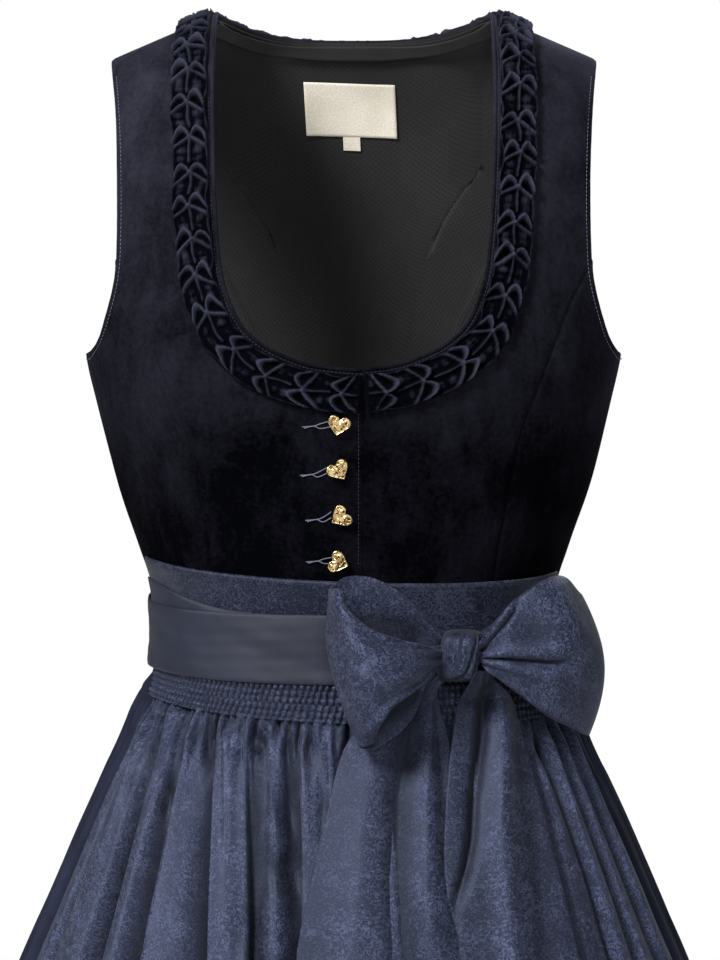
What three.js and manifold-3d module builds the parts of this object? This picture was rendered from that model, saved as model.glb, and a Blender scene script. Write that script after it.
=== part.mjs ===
// A dirndl: a fitted velvet bodice with a ruched neck trim and heart buttons, a gathered skirt,
// and a smocked apron whose wide ties go round the waist and are tied in a bow at the front.
// Millimetres, +Z up, the front faces -Y. The origin is midway between the neck points of the
// shoulders, where the garment hangs on its wearer. Left and right in names are the wearer's:
// the wearer's left is +X.
import * as THREE from 'three';
import { mergeVertices } from 'three/addons/utils/BufferGeometryUtils.js';
import Module from 'manifold-3d';

const wasm = await Module();
wasm.setup();

// ---------------------------------------------------------------- driving dimensions
const SEAM_GAP = 0.3; // between pieces that are sewn edge to edge or lie on each other
const SHELL_THICK = 2; // velvet with its interlining
const LINING_THICK = 1;
const LINING_LIFT = -SHELL_THICK - 1.2; // the lining hangs a little free of the velvet
const SKIRT_THICK = 1.6;
const APRON_THICK = 1.4;
const TIE_THICK = 1.2; // the ties are a doubled satin strip
const BAND_THICK = 2;

const NECK_HALF = 86; // from the middle to the neck point of a shoulder
const SHOULDER_TIP = 153;
const SHOULDER_SLOPE = 0.44;
const NECK_ROUND = 30; // radius-like length that rounds the ridge line at the middle
const RIDGE_Y = 4; // the shoulder seam lies a little behind the side seams
const RIDGE_ROUND = 42; // height over which front and back turn over the shoulder
const BACK_NECK_DIP = 16;
const WAIST_Z = -362;
const CLOSING_X = 5.5; // edge of the right front, which laps over the left one

const TRIM_MARGIN = 3.5; // plain velvet between the neck edge and the trim
const TRIM_WIDTH = 22;
const TRIM_UNITS = 41;
const TRIM_SLIT = 1.8; // between the two ends of the trim, at the closing edge
const TRIM_SEAT = 1.5; // the strip is stitched down in its middle and stands off a little
const FACING_WIDTH = 10;
const FACING_EASE = 2.6; // its lower edge stands a little off the lining

const BUTTON_WIDTH = 14.6;
const BUTTON_THICK = 3;

const WAISTBAND_DEPTH = 44;
const TIE_TOP_Z = -369;
const TIE_DEPTH = 43;
const SMOCK_BOTTOM = 87; // below the top edge of the waistband
const SMOCK_RELIEF = 1.9;
const APRON_HALF_ANGLE = 70; // degrees each way from the front
const APRON_HEM_Z = -925;
const HEM_Z = -960;

// Where the creases between the folds of the front lie, as angles in degrees from the middle.
const FRONT_CREASES = [
  -90, -83.5, -77, -70.5, -63.5, -53.5, -40.5, -28, -19.2, -9.3, 0,
  10, 20, 29.5, 40.5, 46.7, 54.5, 62.5, 71.5, 81, 90,
];
const FOLDS_BACK = 22;

// The outer face of bodice and skirt at each height: half width, and depth forward and back.
const BODY = [
  { z: 0, half: 168, front: 52, back: 62 },
  { z: -60, half: 170, front: 72, back: 86 },
  { z: -130, half: 171, front: 92, back: 99 },
  { z: -213, half: 169, front: 112, back: 102 },
  { z: -240, half: 163.5, front: 112, back: 98 },
  { z: -294, half: 150, front: 103, back: 90 },
  { z: -335, half: 136.5, front: 96.5, back: 88 },
  { z: -362, half: 128.5, front: 93, back: 87 },
  { z: -413, half: 129, front: 95, back: 90 },
  { z: -430, half: 134, front: 98, back: 95 },
  { z: -455, half: 144, front: 106, back: 106 },
  { z: -485, half: 158, front: 118, back: 120 },
  { z: -521, half: 174, front: 132, back: 136 },
  { z: -565, half: 192, front: 149, back: 155 },
  { z: -700, half: 246, front: 198, back: 208 },
  { z: -840, half: 298, front: 248, back: 261 },
  { z: -960, half: 341, front: 290, back: 305 },
];
const SQUARE_X = 0.08; // how far a section is fuller than an ellipse
const SQUARE_Y = 0.16;

// Edges and seams of the right-hand half, seen from the front or the back.
const NECK_FRONT = [
  { x: 86, z: 0 }, { x: 87, z: -42 }, { x: 86, z: -91 }, { x: 84, z: -129 }, { x: 80, z: -163 },
  { x: 70, z: -188 }, { x: 57, z: -201 }, { x: 43, z: -208.5 }, { x: 25, z: -214.5 }, { x: 0, z: -217.3 },
];
const ARMHOLE_FRONT = [
  { x: 153, z: -28 }, { x: 149, z: -58 }, { x: 147.3, z: -92 }, { x: 147, z: -135 },
  { x: 149, z: -165 }, { x: 158, z: -197 }, { x: 166, z: -211 }, { x: 169, z: -213 },
];
const ARMHOLE_BACK = [
  { x: 153, z: -28 }, { x: 150, z: -58 }, { x: 148, z: -92 }, { x: 148, z: -135 },
  { x: 150, z: -165 }, { x: 159, z: -197 }, { x: 166.5, z: -211 }, { x: 169, z: -213 },
];
const SEAM_FRONT = [
  { x: 147.6, z: -152 }, { x: 132, z: -183 }, { x: 114, z: -229 }, { x: 107, z: -245 },
  { x: 101.5, z: -263 }, { x: 93.7, z: -305 }, { x: 87.6, z: -342 }, { x: 86, z: WAIST_Z },
];
const SEAM_BACK = [
  { x: 147.9, z: -112 }, { x: 118, z: -130 }, { x: 93, z: -154 }, { x: 78, z: -184 },
  { x: 68, z: -204 }, { x: 57, z: -255 }, { x: 50, z: -310 }, { x: 47, z: WAIST_Z },
];

const BUTTONS = [
  { name: 'button_1', x: -9, z: -250.4, turn: -13 },
  { name: 'button_2', x: -9, z: -278, turn: 32 },
  { name: 'button_3', x: -8, z: -307, turn: -57 },
  { name: 'button_4', x: -9, z: -335.4, turn: 70 },
];

// Rows of the skirt from the waist seam to the hem. tilt is how much a row follows the slant of
// the waistband, inset how far it keeps under it, fold how far the folds stand in and out.
const SKIRT_ROWS = [
  { z: WAIST_Z - SEAM_GAP, tilt: 0, inset: 2, fold: 0.2 },
  { z: -410, tilt: 0, inset: 1.8, fold: 0.4 },
  { z: -430, tilt: 1, inset: 1, fold: 1.5 },
  { z: -480, tilt: 0.6, inset: 0, fold: 5.5 },
  { z: -545, tilt: 0.2, inset: 0, fold: 8 },
  { z: -640, tilt: 0, inset: 0, fold: 11 },
  { z: -780, tilt: 0, inset: 0, fold: 14.5 },
  { z: APRON_HEM_Z, tilt: 0, inset: 0, fold: 17.5 },
  { z: HEM_Z, tilt: 0, inset: 0, fold: 18 },
];
const APRON_ROWS = { first: 2, last: 7 };

// The two layers of a bow loop: the upper and the lower edge of the ribbon at each station, and
// how far its middle bulges forward there.
const LOOP_RIGHT = [
  { xTop: 53, yTop: -102, zTop: -380, xLow: 53, yLow: -102, zLow: -400, bulge: 0 },
  { xTop: 43, yTop: -107, zTop: -366, xLow: 44, yLow: -108, zLow: -414, bulge: -1 },
  { xTop: 30, yTop: -110, zTop: -352, xLow: 36, yLow: -113, zLow: -431, bulge: -2 },
  { xTop: 12, yTop: -112, zTop: -342, xLow: 26, yLow: -117, zLow: -442, bulge: -2 },
  { xTop: -6, yTop: -114, zTop: -341, xLow: 13, yLow: -119, zLow: -446, bulge: -1 },
  { xTop: -15, yTop: -121, zTop: -346, xLow: -1, yLow: -125, zLow: -432, bulge: 2 },
  { xTop: -9, yTop: -133, zTop: -350, xLow: 7, yLow: -136, zLow: -431, bulge: 8 },
  { xTop: 0, yTop: -138, zTop: -359, xLow: 19, yLow: -140, zLow: -425, bulge: 11 },
  { xTop: 13, yTop: -138, zTop: -369, xLow: 25, yLow: -140, zLow: -417, bulge: 10 },
  { xTop: 30, yTop: -135, zTop: -374, xLow: 35, yLow: -136, zLow: -408, bulge: 7 },
  { xTop: 43, yTop: -128, zTop: -380, xLow: 45, yLow: -129, zLow: -401, bulge: 4 },
  { xTop: 53.3, yTop: -117, zTop: -384, xLow: 53.3, yLow: -117, zLow: -398, bulge: 0 },
];
const LOOP_LEFT = [
  { xTop: 77.6, yTop: -116, zTop: -380, xLow: 77.6, yLow: -116, zLow: -397, bulge: 0 },
  { xTop: 90, yTop: -122, zTop: -363, xLow: 88, yLow: -122, zLow: -406, bulge: 4 },
  { xTop: 103, yTop: -121, zTop: -352, xLow: 103, yLow: -122, zLow: -417, bulge: 6 },
  { xTop: 116, yTop: -116, zTop: -345, xLow: 119, yLow: -119, zLow: -429, bulge: 7 },
  { xTop: 128, yTop: -106, zTop: -343, xLow: 136, yLow: -110, zLow: -440, bulge: 7 },
  { xTop: 138, yTop: -93, zTop: -355, xLow: 148, yLow: -97, zLow: -450, bulge: 4 },
  { xTop: 139, yTop: -81, zTop: -359, xLow: 148, yLow: -85, zLow: -448, bulge: -3 },
  { xTop: 128, yTop: -80, zTop: -356, xLow: 136, yLow: -84, zLow: -440, bulge: -3 },
  { xTop: 110, yTop: -88, zTop: -360, xLow: 116, yLow: -93, zLow: -428, bulge: -2 },
  { xTop: 93, yTop: -95, zTop: -370, xLow: 95, yLow: -99, zLow: -412, bulge: 0 },
  { xTop: 77.8, yTop: -101, zTop: -381, xLow: 77.8, yLow: -101, zLow: -399, bulge: 0 },
];

// The hanging ends: where the two edges lie at each height, and how far off the skirt's mean face.
const TAIL_RIGHT = [
  { z: -409.3, left: 54, right: 65, off: 21 },
  { z: -417, left: 47, right: 61, off: 13 },
  { z: -427, left: 28, right: 58, off: 9 },
  { z: -448, left: -3, right: 57, off: 9 },
  { z: -491, left: -16, right: 53, off: 10.5 },
  { z: -530, left: -25, right: 54, off: 11 },
  { z: -570, left: -33, right: 63, off: 12 },
  { z: -650, left: -40, right: 67, off: 14 },
  { z: -730, left: -44, right: 70, off: 15.5 },
  { z: -805, left: -46, right: 73, off: 17 },
];
const TAIL_LEFT = [
  { z: -408, left: 67, right: 77, off: 22 },
  { z: -417, left: 63.5, right: 84, off: 13 },
  { z: -427, left: 60.5, right: 92, off: 9 },
  { z: -448, left: 58.5, right: 99, off: 9 },
  { z: -491, left: 55, right: 110, off: 10.5 },
  { z: -530, left: 56, right: 119, off: 11 },
  { z: -570, left: 65, right: 128, off: 12 },
  { z: -650, left: 70, right: 143, off: 14 },
  { z: -720, left: 74, right: 154, off: 15.5 },
  { z: -785, left: 77, right: 162, off: 17 },
];
const TAIL_SLANT = 28; // the lower end of a tie is cut on the slant

// ---------------------------------------------------------------- materials
const finish = (color, roughness, metalness = 0) =>
  new THREE.MeshStandardMaterial({ color, roughness, metalness });
const VELVET = () => finish(0x23253a, 0.85);
const RUCHED_VELVET = () => finish(0x2b2e44, 0.8);
const LINING = () => finish(0x17181c, 0.9);
const LABEL = () => finish(0xe9e6dc, 0.8);
const GOLD = () => finish(0xd8a545, 0.3, 1);
const JACQUARD = () => finish(0x46506e, 0.55);
const SATIN = () => finish(0x5a6684, 0.45);
const SKIRT_CLOTH = () => finish(0x232c46, 0.8);

// ---------------------------------------------------------------- small helpers
const radians = THREE.MathUtils.degToRad;
const lerp = THREE.MathUtils.lerp;
const V3 = (x, y, z) => new THREE.Vector3(x, y, z);

// A smooth curve through one column of a table whose rows are sorted by falling z.
function sizeAt(table, key, z) {
  const last = table.length - 1;
  if (z >= table[0].z) return table[0][key];
  if (z <= table[last].z) return table[last][key];
  const i = table.findIndex((row, k) => k < last && z <= row.z && z > table[k + 1].z);
  const slope = (a, b) => (b[key] - a[key]) / (b.z - a.z);
  const here = table[i];
  const next = table[i + 1];
  const span = next.z - here.z;
  const mid = slope(here, next);
  const startSlope = i > 0 ? (slope(table[i - 1], here) + mid) / 2 : mid;
  const endSlope = i + 2 <= last ? (mid + slope(next, table[i + 2])) / 2 : mid;
  const t = (z - here.z) / span;
  const rest = 1 - t;
  return here[key] * rest * rest * (1 + 2 * t) + next[key] * t * t * (3 - 2 * t)
    + span * (startSlope * t * rest * rest - endSlope * t * t * rest);
}

const smooth = (from, to, value) => THREE.MathUtils.smoothstep(value, from, to);

// Even steps of a fold's character that look irregular but are the same on every run.
const uneven = (i, k = 0) => Math.sin(i * 2.399 + k * 1.7) * 0.6 + Math.sin(i * 5.13 + k) * 0.4;

// Joins two rows of points, which may differ in number, by the shorter diagonal each time.
function zip(a, b, place, faces) {
  let i = 0;
  let j = 0;
  while (i < a.length - 1 || j < b.length - 1) {
    const stepA = i < a.length - 1 && (j === b.length - 1
      || (i + 1) / (a.length - 1) <= (j + 1) / (b.length - 1));
    if (stepA) {
      faces.push([place(a[i]), place(a[i + 1]), place(b[j])]);
      i += 1;
    } else {
      faces.push([place(a[i]), place(b[j + 1]), place(b[j])]);
      j += 1;
    }
  }
}

// A closed wall between an outer and an inner grid of points. Each grid is a list of rows, and
// rows run top to bottom with their points anticlockwise round the body seen from above.
function wall(outer, inner) {
  const points = [];
  const faces = [];
  const index = new Map();
  const place = (p) => {
    if (!index.has(p)) {
      index.set(p, points.length / 3);
      points.push(p.x, p.y, p.z);
    }
    return index.get(p);
  };
  const sheet = (grid, flip) => {
    for (let r = 0; r < grid.length - 1; r += 1) {
      for (let c = 0; c < grid[r].length - 1; c += 1) {
        const quad = [grid[r][c], grid[r + 1][c], grid[r + 1][c + 1], grid[r][c + 1]].map(place);
        const [p, q, s, t] = flip ? [quad[0], quad[3], quad[2], quad[1]] : quad;
        faces.push([p, q, s], [p, s, t]);
      }
    }
  };
  sheet(outer, false);
  sheet(inner, true);
  const lastRow = (grid) => grid[grid.length - 1];
  const column = (grid, c) => grid.map((row) => row[c < 0 ? row.length - 1 : 0]);
  zip(outer[0], inner[0], place, faces);
  zip([...lastRow(outer)].reverse(), [...lastRow(inner)].reverse(), place, faces);
  zip([...column(outer, 0)].reverse(), [...column(inner, 0)].reverse(), place, faces);
  zip(column(outer, -1), column(inner, -1), place, faces);
  const geometry = new THREE.BufferGeometry();
  geometry.setAttribute('position', new THREE.Float32BufferAttribute(points, 3));
  geometry.setIndex(faces.flat());
  geometry.computeVertexNormals();
  return geometry;
}

// ---------------------------------------------------------------- the body surface
function oval(phi, z) {
  const s = Math.sin(phi);
  const c = Math.cos(phi);
  const depth = sizeAt(BODY, c > 0 ? 'front' : 'back', z);
  const x = sizeAt(BODY, 'half', z) * s * (1 + SQUARE_X * c * c);
  return { x, y: -depth * c * (1 + SQUARE_Y * s * s) };
}

// The angle round the body, 0 at the front and positive towards +X, of a point seen from the front.
function angleAt(x, z) {
  const target = Math.min(1, Math.abs(x) / sizeAt(BODY, 'half', z));
  let low = 0;
  let high = Math.PI / 2;
  for (let i = 0; i < 30; i += 1) {
    const mid = (low + high) / 2;
    const reach = Math.sin(mid) * (1 + SQUARE_X * Math.cos(mid) ** 2);
    if (reach < target) low = mid;
    else high = mid;
  }
  return Math.sign(x) * low;
}
const angleOn = (side, x, z) => (side === 'front' ? angleAt(x, z) : Math.PI - angleAt(x, z));

const ridge = (x) => -SHOULDER_SLOPE * (Math.hypot(x, NECK_ROUND) - Math.hypot(NECK_HALF, NECK_ROUND));

// The way down from the shoulder ridge, measured along the cloth, against the fall in height.
const fallOf = (way) => (way < (RIDGE_ROUND * Math.PI) / 2
  ? RIDGE_ROUND * (1 - Math.cos(way / RIDGE_ROUND))
  : way - RIDGE_ROUND * (Math.PI / 2 - 1));
const wayOf = (fall) => (fall < RIDGE_ROUND
  ? RIDGE_ROUND * Math.acos(1 - Math.max(0, fall) / RIDGE_ROUND)
  : fall + RIDGE_ROUND * (Math.PI / 2 - 1));

function skin(phi, z) {
  const { x, y } = oval(phi, z);
  const fall = Math.max(0, ridge(x) - z);
  const turned = fall < RIDGE_ROUND ? Math.sqrt(1 - (1 - fall / RIDGE_ROUND) ** 2) : 1;
  return V3(x, RIDGE_Y + (y - RIDGE_Y) * turned, z);
}

function skinNormal(phi, z) {
  const step = 0.004;
  const fall = 0.1;
  const top = Math.min(z + fall / 2, ridge(oval(phi, z).x));
  const across = skin(phi + step, z).sub(skin(phi - step, z));
  const up = skin(phi, top).sub(skin(phi, top - fall));
  return across.cross(up).normalize();
}
const offSkin = (phi, z, lift) => skin(phi, z).addScaledVector(skinNormal(phi, z), lift);

// ---------------------------------------------------------------- bodice panels
const curveOf = (rows) => new THREE.SplineCurve(rows.map((row) => new THREE.Vector2(row.x, row.z)));

// Points of a curve from one share of its drawn length to another, at even steps over the body.
function stretch(side, curve, from, to, count) {
  const fine = 80;
  const places = Array.from({ length: fine + 1 }, (_, i) => curve.getPointAt(lerp(from, to, i / fine)));
  const onBody = places.map((p) => skin(angleOn(side, p.x, p.y), p.y));
  const lengths = onBody.reduce((sums, p, i) => (
    i ? [...sums, sums[i - 1] + p.distanceTo(onBody[i - 1])] : [0]), []);
  return Array.from({ length: count }, (_, i) => {
    const goal = (lengths[fine] * i) / (count - 1);
    const k = Math.min(fine - 1, lengths.filter((length) => length <= goal).length - 1);
    const p = places[k].clone().lerp(places[k + 1], (goal - lengths[k]) / (lengths[k + 1] - lengths[k]));
    return { x: p.x, z: p.y };
  });
}

// The share of a curve's length up to which a test holds for its points.
function shareWhile(curve, test) {
  let low = 0;
  let high = 1;
  for (let i = 0; i < 30; i += 1) {
    const mid = (low + high) / 2;
    if (test(curve.getPointAt(mid))) low = mid;
    else high = mid;
  }
  return low;
}
const shareAt = (curve, z) => shareWhile(curve, (p) => p.y > z);
const shareBeyond = (curve, x) => shareWhile(curve, (p) => p.x > x);

const neckFront = curveOf(NECK_FRONT);
const armholeFront = curveOf(ARMHOLE_FRONT);
const armholeBack = curveOf(ARMHOLE_BACK);
const seamFront = curveOf(SEAM_FRONT);
const seamBack = curveOf(SEAM_BACK);
const neckBackZ = (x) => -BACK_NECK_DIP * (1 - Math.abs(x / NECK_HALF) ** 3);

// Rows over the shoulder: the same ways down from the ridge at the neck edge and the armhole.
const QUARTER_TURN = (RIDGE_ROUND * Math.PI) / 2;
const SHOULDER_WAYS = [0.003, 0.25, 0.5, 0.75, 1].map((share) => share * QUARTER_TURN);
const overShoulder = (curve) => SHOULDER_WAYS.map((way) => {
  const edge = curve.getPointAt(shareAt(curve, ridge(SHOULDER_TIP) - fallOf(way)));
  return { x: edge.x, z: ridge(edge.x) - fallOf(way) };
});
const overNeck = () => SHOULDER_WAYS.map((way) => ({ x: NECK_HALF + 0.3, z: ridge(NECK_HALF + 0.3) - fallOf(way) }));

const SIDE_ROWS = 10; // stations on a shaping seam
const seamStations = (side, curve) => stretch(side, curve, 0, 1, SIDE_ROWS);

// Shares of a panel's width at which its columns of points stand.
const evenShares = (count) => Array.from({ length: count + 1 }, (_, c) => c / count);

// A panel between two edges with one rung from each station of the one to that of the other.
// The points of a rung are spread by x, or by the angle round the body where it turns sideways.
function ladder(side, left, right, shares, lift, thick, byAngle = false) {
  const layer = (height) => left.map((a, r) => {
    const b = right[r];
    const [from, to] = [angleOn(side, a.x, a.z), angleOn(side, b.x, b.z)];
    const inset = SEAM_GAP / 2 / skin(from, a.z).distanceTo(skin(to, b.z));
    return shares.map((share) => {
      const t = lerp(inset, 1 - inset, share);
      const z = lerp(a.z, b.z, t);
      return offSkin(byAngle ? lerp(from, to, t) : angleOn(side, lerp(a.x, b.x, t), z), z, height);
    });
  });
  return wall(layer(lift), layer(lift - thick));
}

const mirrored = (rows) => rows.map((row) => ({ x: -row.x, z: row.z }));

// The front with its shoulder strap: from the neck edge and the closing edge on the one hand to
// the armhole and the shaping seam on the other.
const NECK_ROWS = 8;
const CLOSING_ROWS = 4;
function frontCentreEdges(closingX) {
  const start = shareAt(neckFront, ridge(NECK_HALF) - RIDGE_ROUND);
  const neck = stretch('front', neckFront, start, shareBeyond(neckFront, closingX), NECK_ROWS + 1).slice(1);
  const corner = neck[NECK_ROWS - 1];
  const closing = Array.from({ length: CLOSING_ROWS }, (_, i) => ({
    x: closingX,
    z: lerp(corner.z, WAIST_Z, (i + 1) / CLOSING_ROWS),
  }));
  const armStart = shareAt(armholeFront, ridge(SHOULDER_TIP) - RIDGE_ROUND);
  const armEnd = shareAt(armholeFront, SEAM_FRONT[0].z);
  const arm = stretch('front', armholeFront, armStart, armEnd, 4).slice(1, 3);
  return {
    inner: [...overNeck(), ...neck, ...closing],
    outer: [...overShoulder(armholeFront), ...arm, ...seamStations('front', seamFront)],
  };
}

// The right front reaches over the middle to the closing edge, and the left one starts there.
const FRONT_SHARES = [0, 0.22, 0.42, 0.62, 0.82, 1];
function rightFrontEdges() {
  const { inner, outer } = frontCentreEdges(0);
  const closing = mirrored(inner).map((p, r) => (
    r >= inner.length - CLOSING_ROWS - 1 ? { x: CLOSING_X, z: p.z } : p));
  return { left: mirrored(outer), right: closing };
}
function frontCentre(wearerSide) {
  if (wearerSide === 'right') {
    const { left, right } = rightFrontEdges();
    return ladder('front', left, right, FRONT_SHARES, 0, SHELL_THICK);
  }
  const { inner, outer } = frontCentreEdges(CLOSING_X + SEAM_GAP);
  const shares = FRONT_SHARES.map((share) => 1 - share).reverse();
  return ladder('front', inner, outer, shares, 0, SHELL_THICK);
}

// The strip of the left front that lies under the right one and carries the buttons.
function underlap() {
  const { left, right } = rightFrontEdges();
  const first = left.length - CLOSING_ROWS - 1;
  const shares = [FRONT_SHARES[4], 1, 1.03];
  return ladder('front', left.slice(first), right.slice(first), shares, -SHELL_THICK - SEAM_GAP, 1);
}

function sidePanel(side, wearerSide) {
  const [armhole, seam, start] = side === 'front'
    ? [armholeFront, seamFront, SEAM_FRONT[0].z] : [armholeBack, seamBack, SEAM_BACK[0].z];
  const armRows = side === 'front' ? 5 : 6;
  const arm = stretch(side, armhole, shareAt(armhole, start - 4), 1, armRows);
  const under = arm[armRows - 1];
  const count = SIDE_ROWS - armRows;
  const down = Array.from({ length: count }, (_, i) => {
    const z = lerp(under.z, WAIST_Z, (i + 1) / count);
    return { x: sizeAt(BODY, 'half', z), z };
  });
  const inner = seamStations(side, seam);
  const outer = [...arm, ...down];
  return { inner, outer, flip: wearerSide === 'right', side };
}

// Rows run anticlockwise seen from above: to +X on the front and to -X on the back.
function sideWall(side, wearerSide, lift, thick) {
  const { inner, outer } = sidePanel(side, wearerSide);
  const onFront = side === 'front';
  const right = wearerSide === 'right';
  const [a, b] = onFront === right ? [outer, inner] : [inner, outer];
  return right
    ? ladder(side, mirrored(a), mirrored(b), evenShares(3), lift, thick, true)
    : ladder(side, a, b, evenShares(3), lift, thick, true);
}

// The back in one piece: columns from one armhole to the other, rows from shoulders and neck down.
const BACK_SHARES = [0.22, 0.38, 0.47, 0.53, NECK_HALF / SHOULDER_TIP, 0.78, 1];
const BACK_COLUMNS = [...BACK_SHARES.map((share) => -share).reverse(), 0, ...BACK_SHARES];
function backCentre(lift, thick, neckDrop) {
  const armStart = shareAt(armholeBack, ridge(SHOULDER_TIP) - RIDGE_ROUND);
  const arm = stretch('back', armholeBack, armStart, shareAt(armholeBack, SEAM_BACK[0].z), 3).slice(1, 2);
  const edge = [...overShoulder(armholeBack), ...arm, ...seamStations('back', seamBack)];
  const wayDown = (p) => wayOf(ridge(p.x) - p.z);
  const neckShare = NECK_HALF / SHOULDER_TIP;
  const layer = (height) => edge.map((p) => {
    const wayAtWaist = wayOf(ridge(p.x) - WAIST_Z);
    const share = (wayDown(p) - SHOULDER_WAYS[0]) / (wayAtWaist - SHOULDER_WAYS[0]);
    const half = p.x - SEAM_GAP / 2;
    return [...BACK_COLUMNS].reverse().map((column) => {
      const x = column * half;
      const topX = column * SHOULDER_TIP;
      const onNeck = Math.abs(column) < neckShare;
      const start = onNeck ? wayOf(ridge(topX) - neckBackZ(topX)) + neckDrop : SHOULDER_WAYS[0];
      const way = lerp(start, wayOf(ridge(x) - WAIST_Z), share);
      return offSkin(Math.PI - angleAt(x, ridge(x) - fallOf(way)), ridge(x) - fallOf(way), height);
    });
  });
  return wall(layer(lift), layer(lift - thick));
}

// ---------------------------------------------------------------- strips round the neck
// A point over the shoulders is told by x and the way down from the ridge: plus on the front,
// minus on the back.
function shoulderPoint(x, way, lift = 0) {
  const z = ridge(x) - fallOf(Math.abs(way));
  const phi = way > 0 ? angleAt(x, z) : Math.PI - angleAt(x, z);
  return lift ? offSkin(phi, z, lift) : skin(phi, z);
}

// The whole neck edge from the closing edge over the wearer's right shoulder and back again. The
// right half starts across the middle, where the right front laps over the left one.
function neckPath() {
  const fine = 60;
  const waysOf = (points) => points
    .map(({ x, z }) => ({ x, way: wayOf(ridge(x) - z) }))
    .filter(({ way }) => way > 1);
  const upTo = (x) => stretch('front', neckFront, 0, shareBeyond(neckFront, x), fine);
  const left = waysOf(upTo(CLOSING_X + TRIM_SLIT / 2));
  const lapEnd = upTo(CLOSING_X - TRIM_SLIT / 2)[fine - 1];
  const right = waysOf([lapEnd, ...mirrored(upTo(0)).reverse()]);
  const back = Array.from({ length: fine }, (_, i) => {
    const x = NECK_HALF * Math.cos((Math.PI * (i + 0.5)) / fine);
    return { x, way: -wayOf(ridge(x) - neckBackZ(x)) };
  });
  return [...right, ...[...back].reverse(), ...left];
}

// Moves a point sideways over the shoulder surface, square to a direction, in short steps.
function aside(start, heading, distance) {
  const steps = Math.max(1, Math.ceil(Math.abs(distance) / 4));
  const probe = 0.5;
  let { x, way } = start;
  for (let i = 0; i < steps; i += 1) {
    const ex = shoulderPoint(x + probe, way).sub(shoulderPoint(x - probe, way)).divideScalar(2 * probe);
    const ew = shoulderPoint(x, way + probe).sub(shoulderPoint(x, way - probe)).divideScalar(2 * probe);
    const normal = ex.clone().cross(ew).normalize();
    const go = heading.clone().cross(normal).normalize().multiplyScalar(distance / steps);
    const xx = ex.dot(ex);
    const xw = ex.dot(ew);
    const ww = ew.dot(ew);
    const det = xx * ww - xw * xw;
    x += (ww * go.dot(ex) - xw * go.dot(ew)) / det;
    way += (xx * go.dot(ew) - xw * go.dot(ex)) / det;
  }
  return { x, way };
}

// Stations at even steps along the neck edge, with the direction of the edge at each.
function neckStations(path, count) {
  const places = path.map((p) => shoulderPoint(p.x, p.way));
  const lengths = [0];
  places.slice(1).forEach((p, i) => lengths.push(lengths[i] + p.distanceTo(places[i])));
  const total = lengths[lengths.length - 1];
  return Array.from({ length: count }, (_, s) => {
    const goal = (total * s) / (count - 1);
    const i = Math.min(path.length - 2, Math.max(0, lengths.findIndex((l) => l > goal) - 1));
    const k = goal >= total ? path.length - 2 : i;
    const t = (goal - lengths[k]) / (lengths[k + 1] - lengths[k]);
    return {
      x: lerp(path[k].x, path[k + 1].x, t),
      way: lerp(path[k].way, path[k + 1].way, t),
      heading: places[k + 1].clone().sub(places[k]).normalize(),
    };
  });
}

// The ruched trim: each unit is a mouth of two rounded lobes, pinched together in the middle.
// Rows of this table are stations within a unit, columns the heights across the strip.
const MOUTH = [
  { edge: 2.4, lobe: 5.6, pinch: 2.6 },
  { edge: 3.8, lobe: 1.8, pinch: 3.6 },
  { edge: 2.0, lobe: 3.6, pinch: 4.2 },
];
function neckTrim() {
  const stations = neckStations(neckPath(), TRIM_UNITS * MOUTH.length + 1);
  const across = [0, 0.08, 0.28, 0.5, 0.72, 0.92, 1];
  const kinds = ['rim', 'edge', 'lobe', 'pinch', 'lobe', 'edge', 'rim'];
  const strip = (shares, height, each = 1) => shares.map((share, c) => stations.map((station, s) => {
    if (s % each) return null;
    const p = aside(station, station.heading, TRIM_MARGIN + TRIM_WIDTH * share);
    return shoulderPoint(p.x, p.way, height(s, c));
  }).filter(Boolean).reverse());
  const heightAt = (s, c) => {
    const row = MOUTH[s % MOUTH.length];
    return kinds[c] === 'rim' ? TRIM_SEAT + 0.7 : row[kinds[c]];
  };
  const outer = strip(across, heightAt);
  const inner = strip([0, 0.5, 1], () => TRIM_SEAT, MOUTH.length);
  return wall(outer, inner);
}

// The plain strip inside the back neck edge.
function neckFacing() {
  const path = neckPath().filter((p) => p.way < -25);
  const stations = neckStations(path, 25);
  const rows = (lift) => [0.8, FACING_WIDTH].map((distance) => stations.map((station) => {
    const p = aside(station, station.heading, distance);
    return shoulderPoint(p.x, p.way, lift);
  }).reverse());
  const outside = LINING_LIFT - LINING_THICK - FACING_EASE;
  return wall(rows(outside), rows(outside - LINING_THICK));
}

// A small woven tab inside the back, between two heights and two sides.
function innerTab(left, right, top, bottom, lift, thick) {
  const rows = (height) => [top, bottom].map((z) => [right, left].map((x) => (
    offSkin(Math.PI - angleAt(x, z), z, height))));
  return wall(rows(lift), rows(lift - thick));
}

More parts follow.
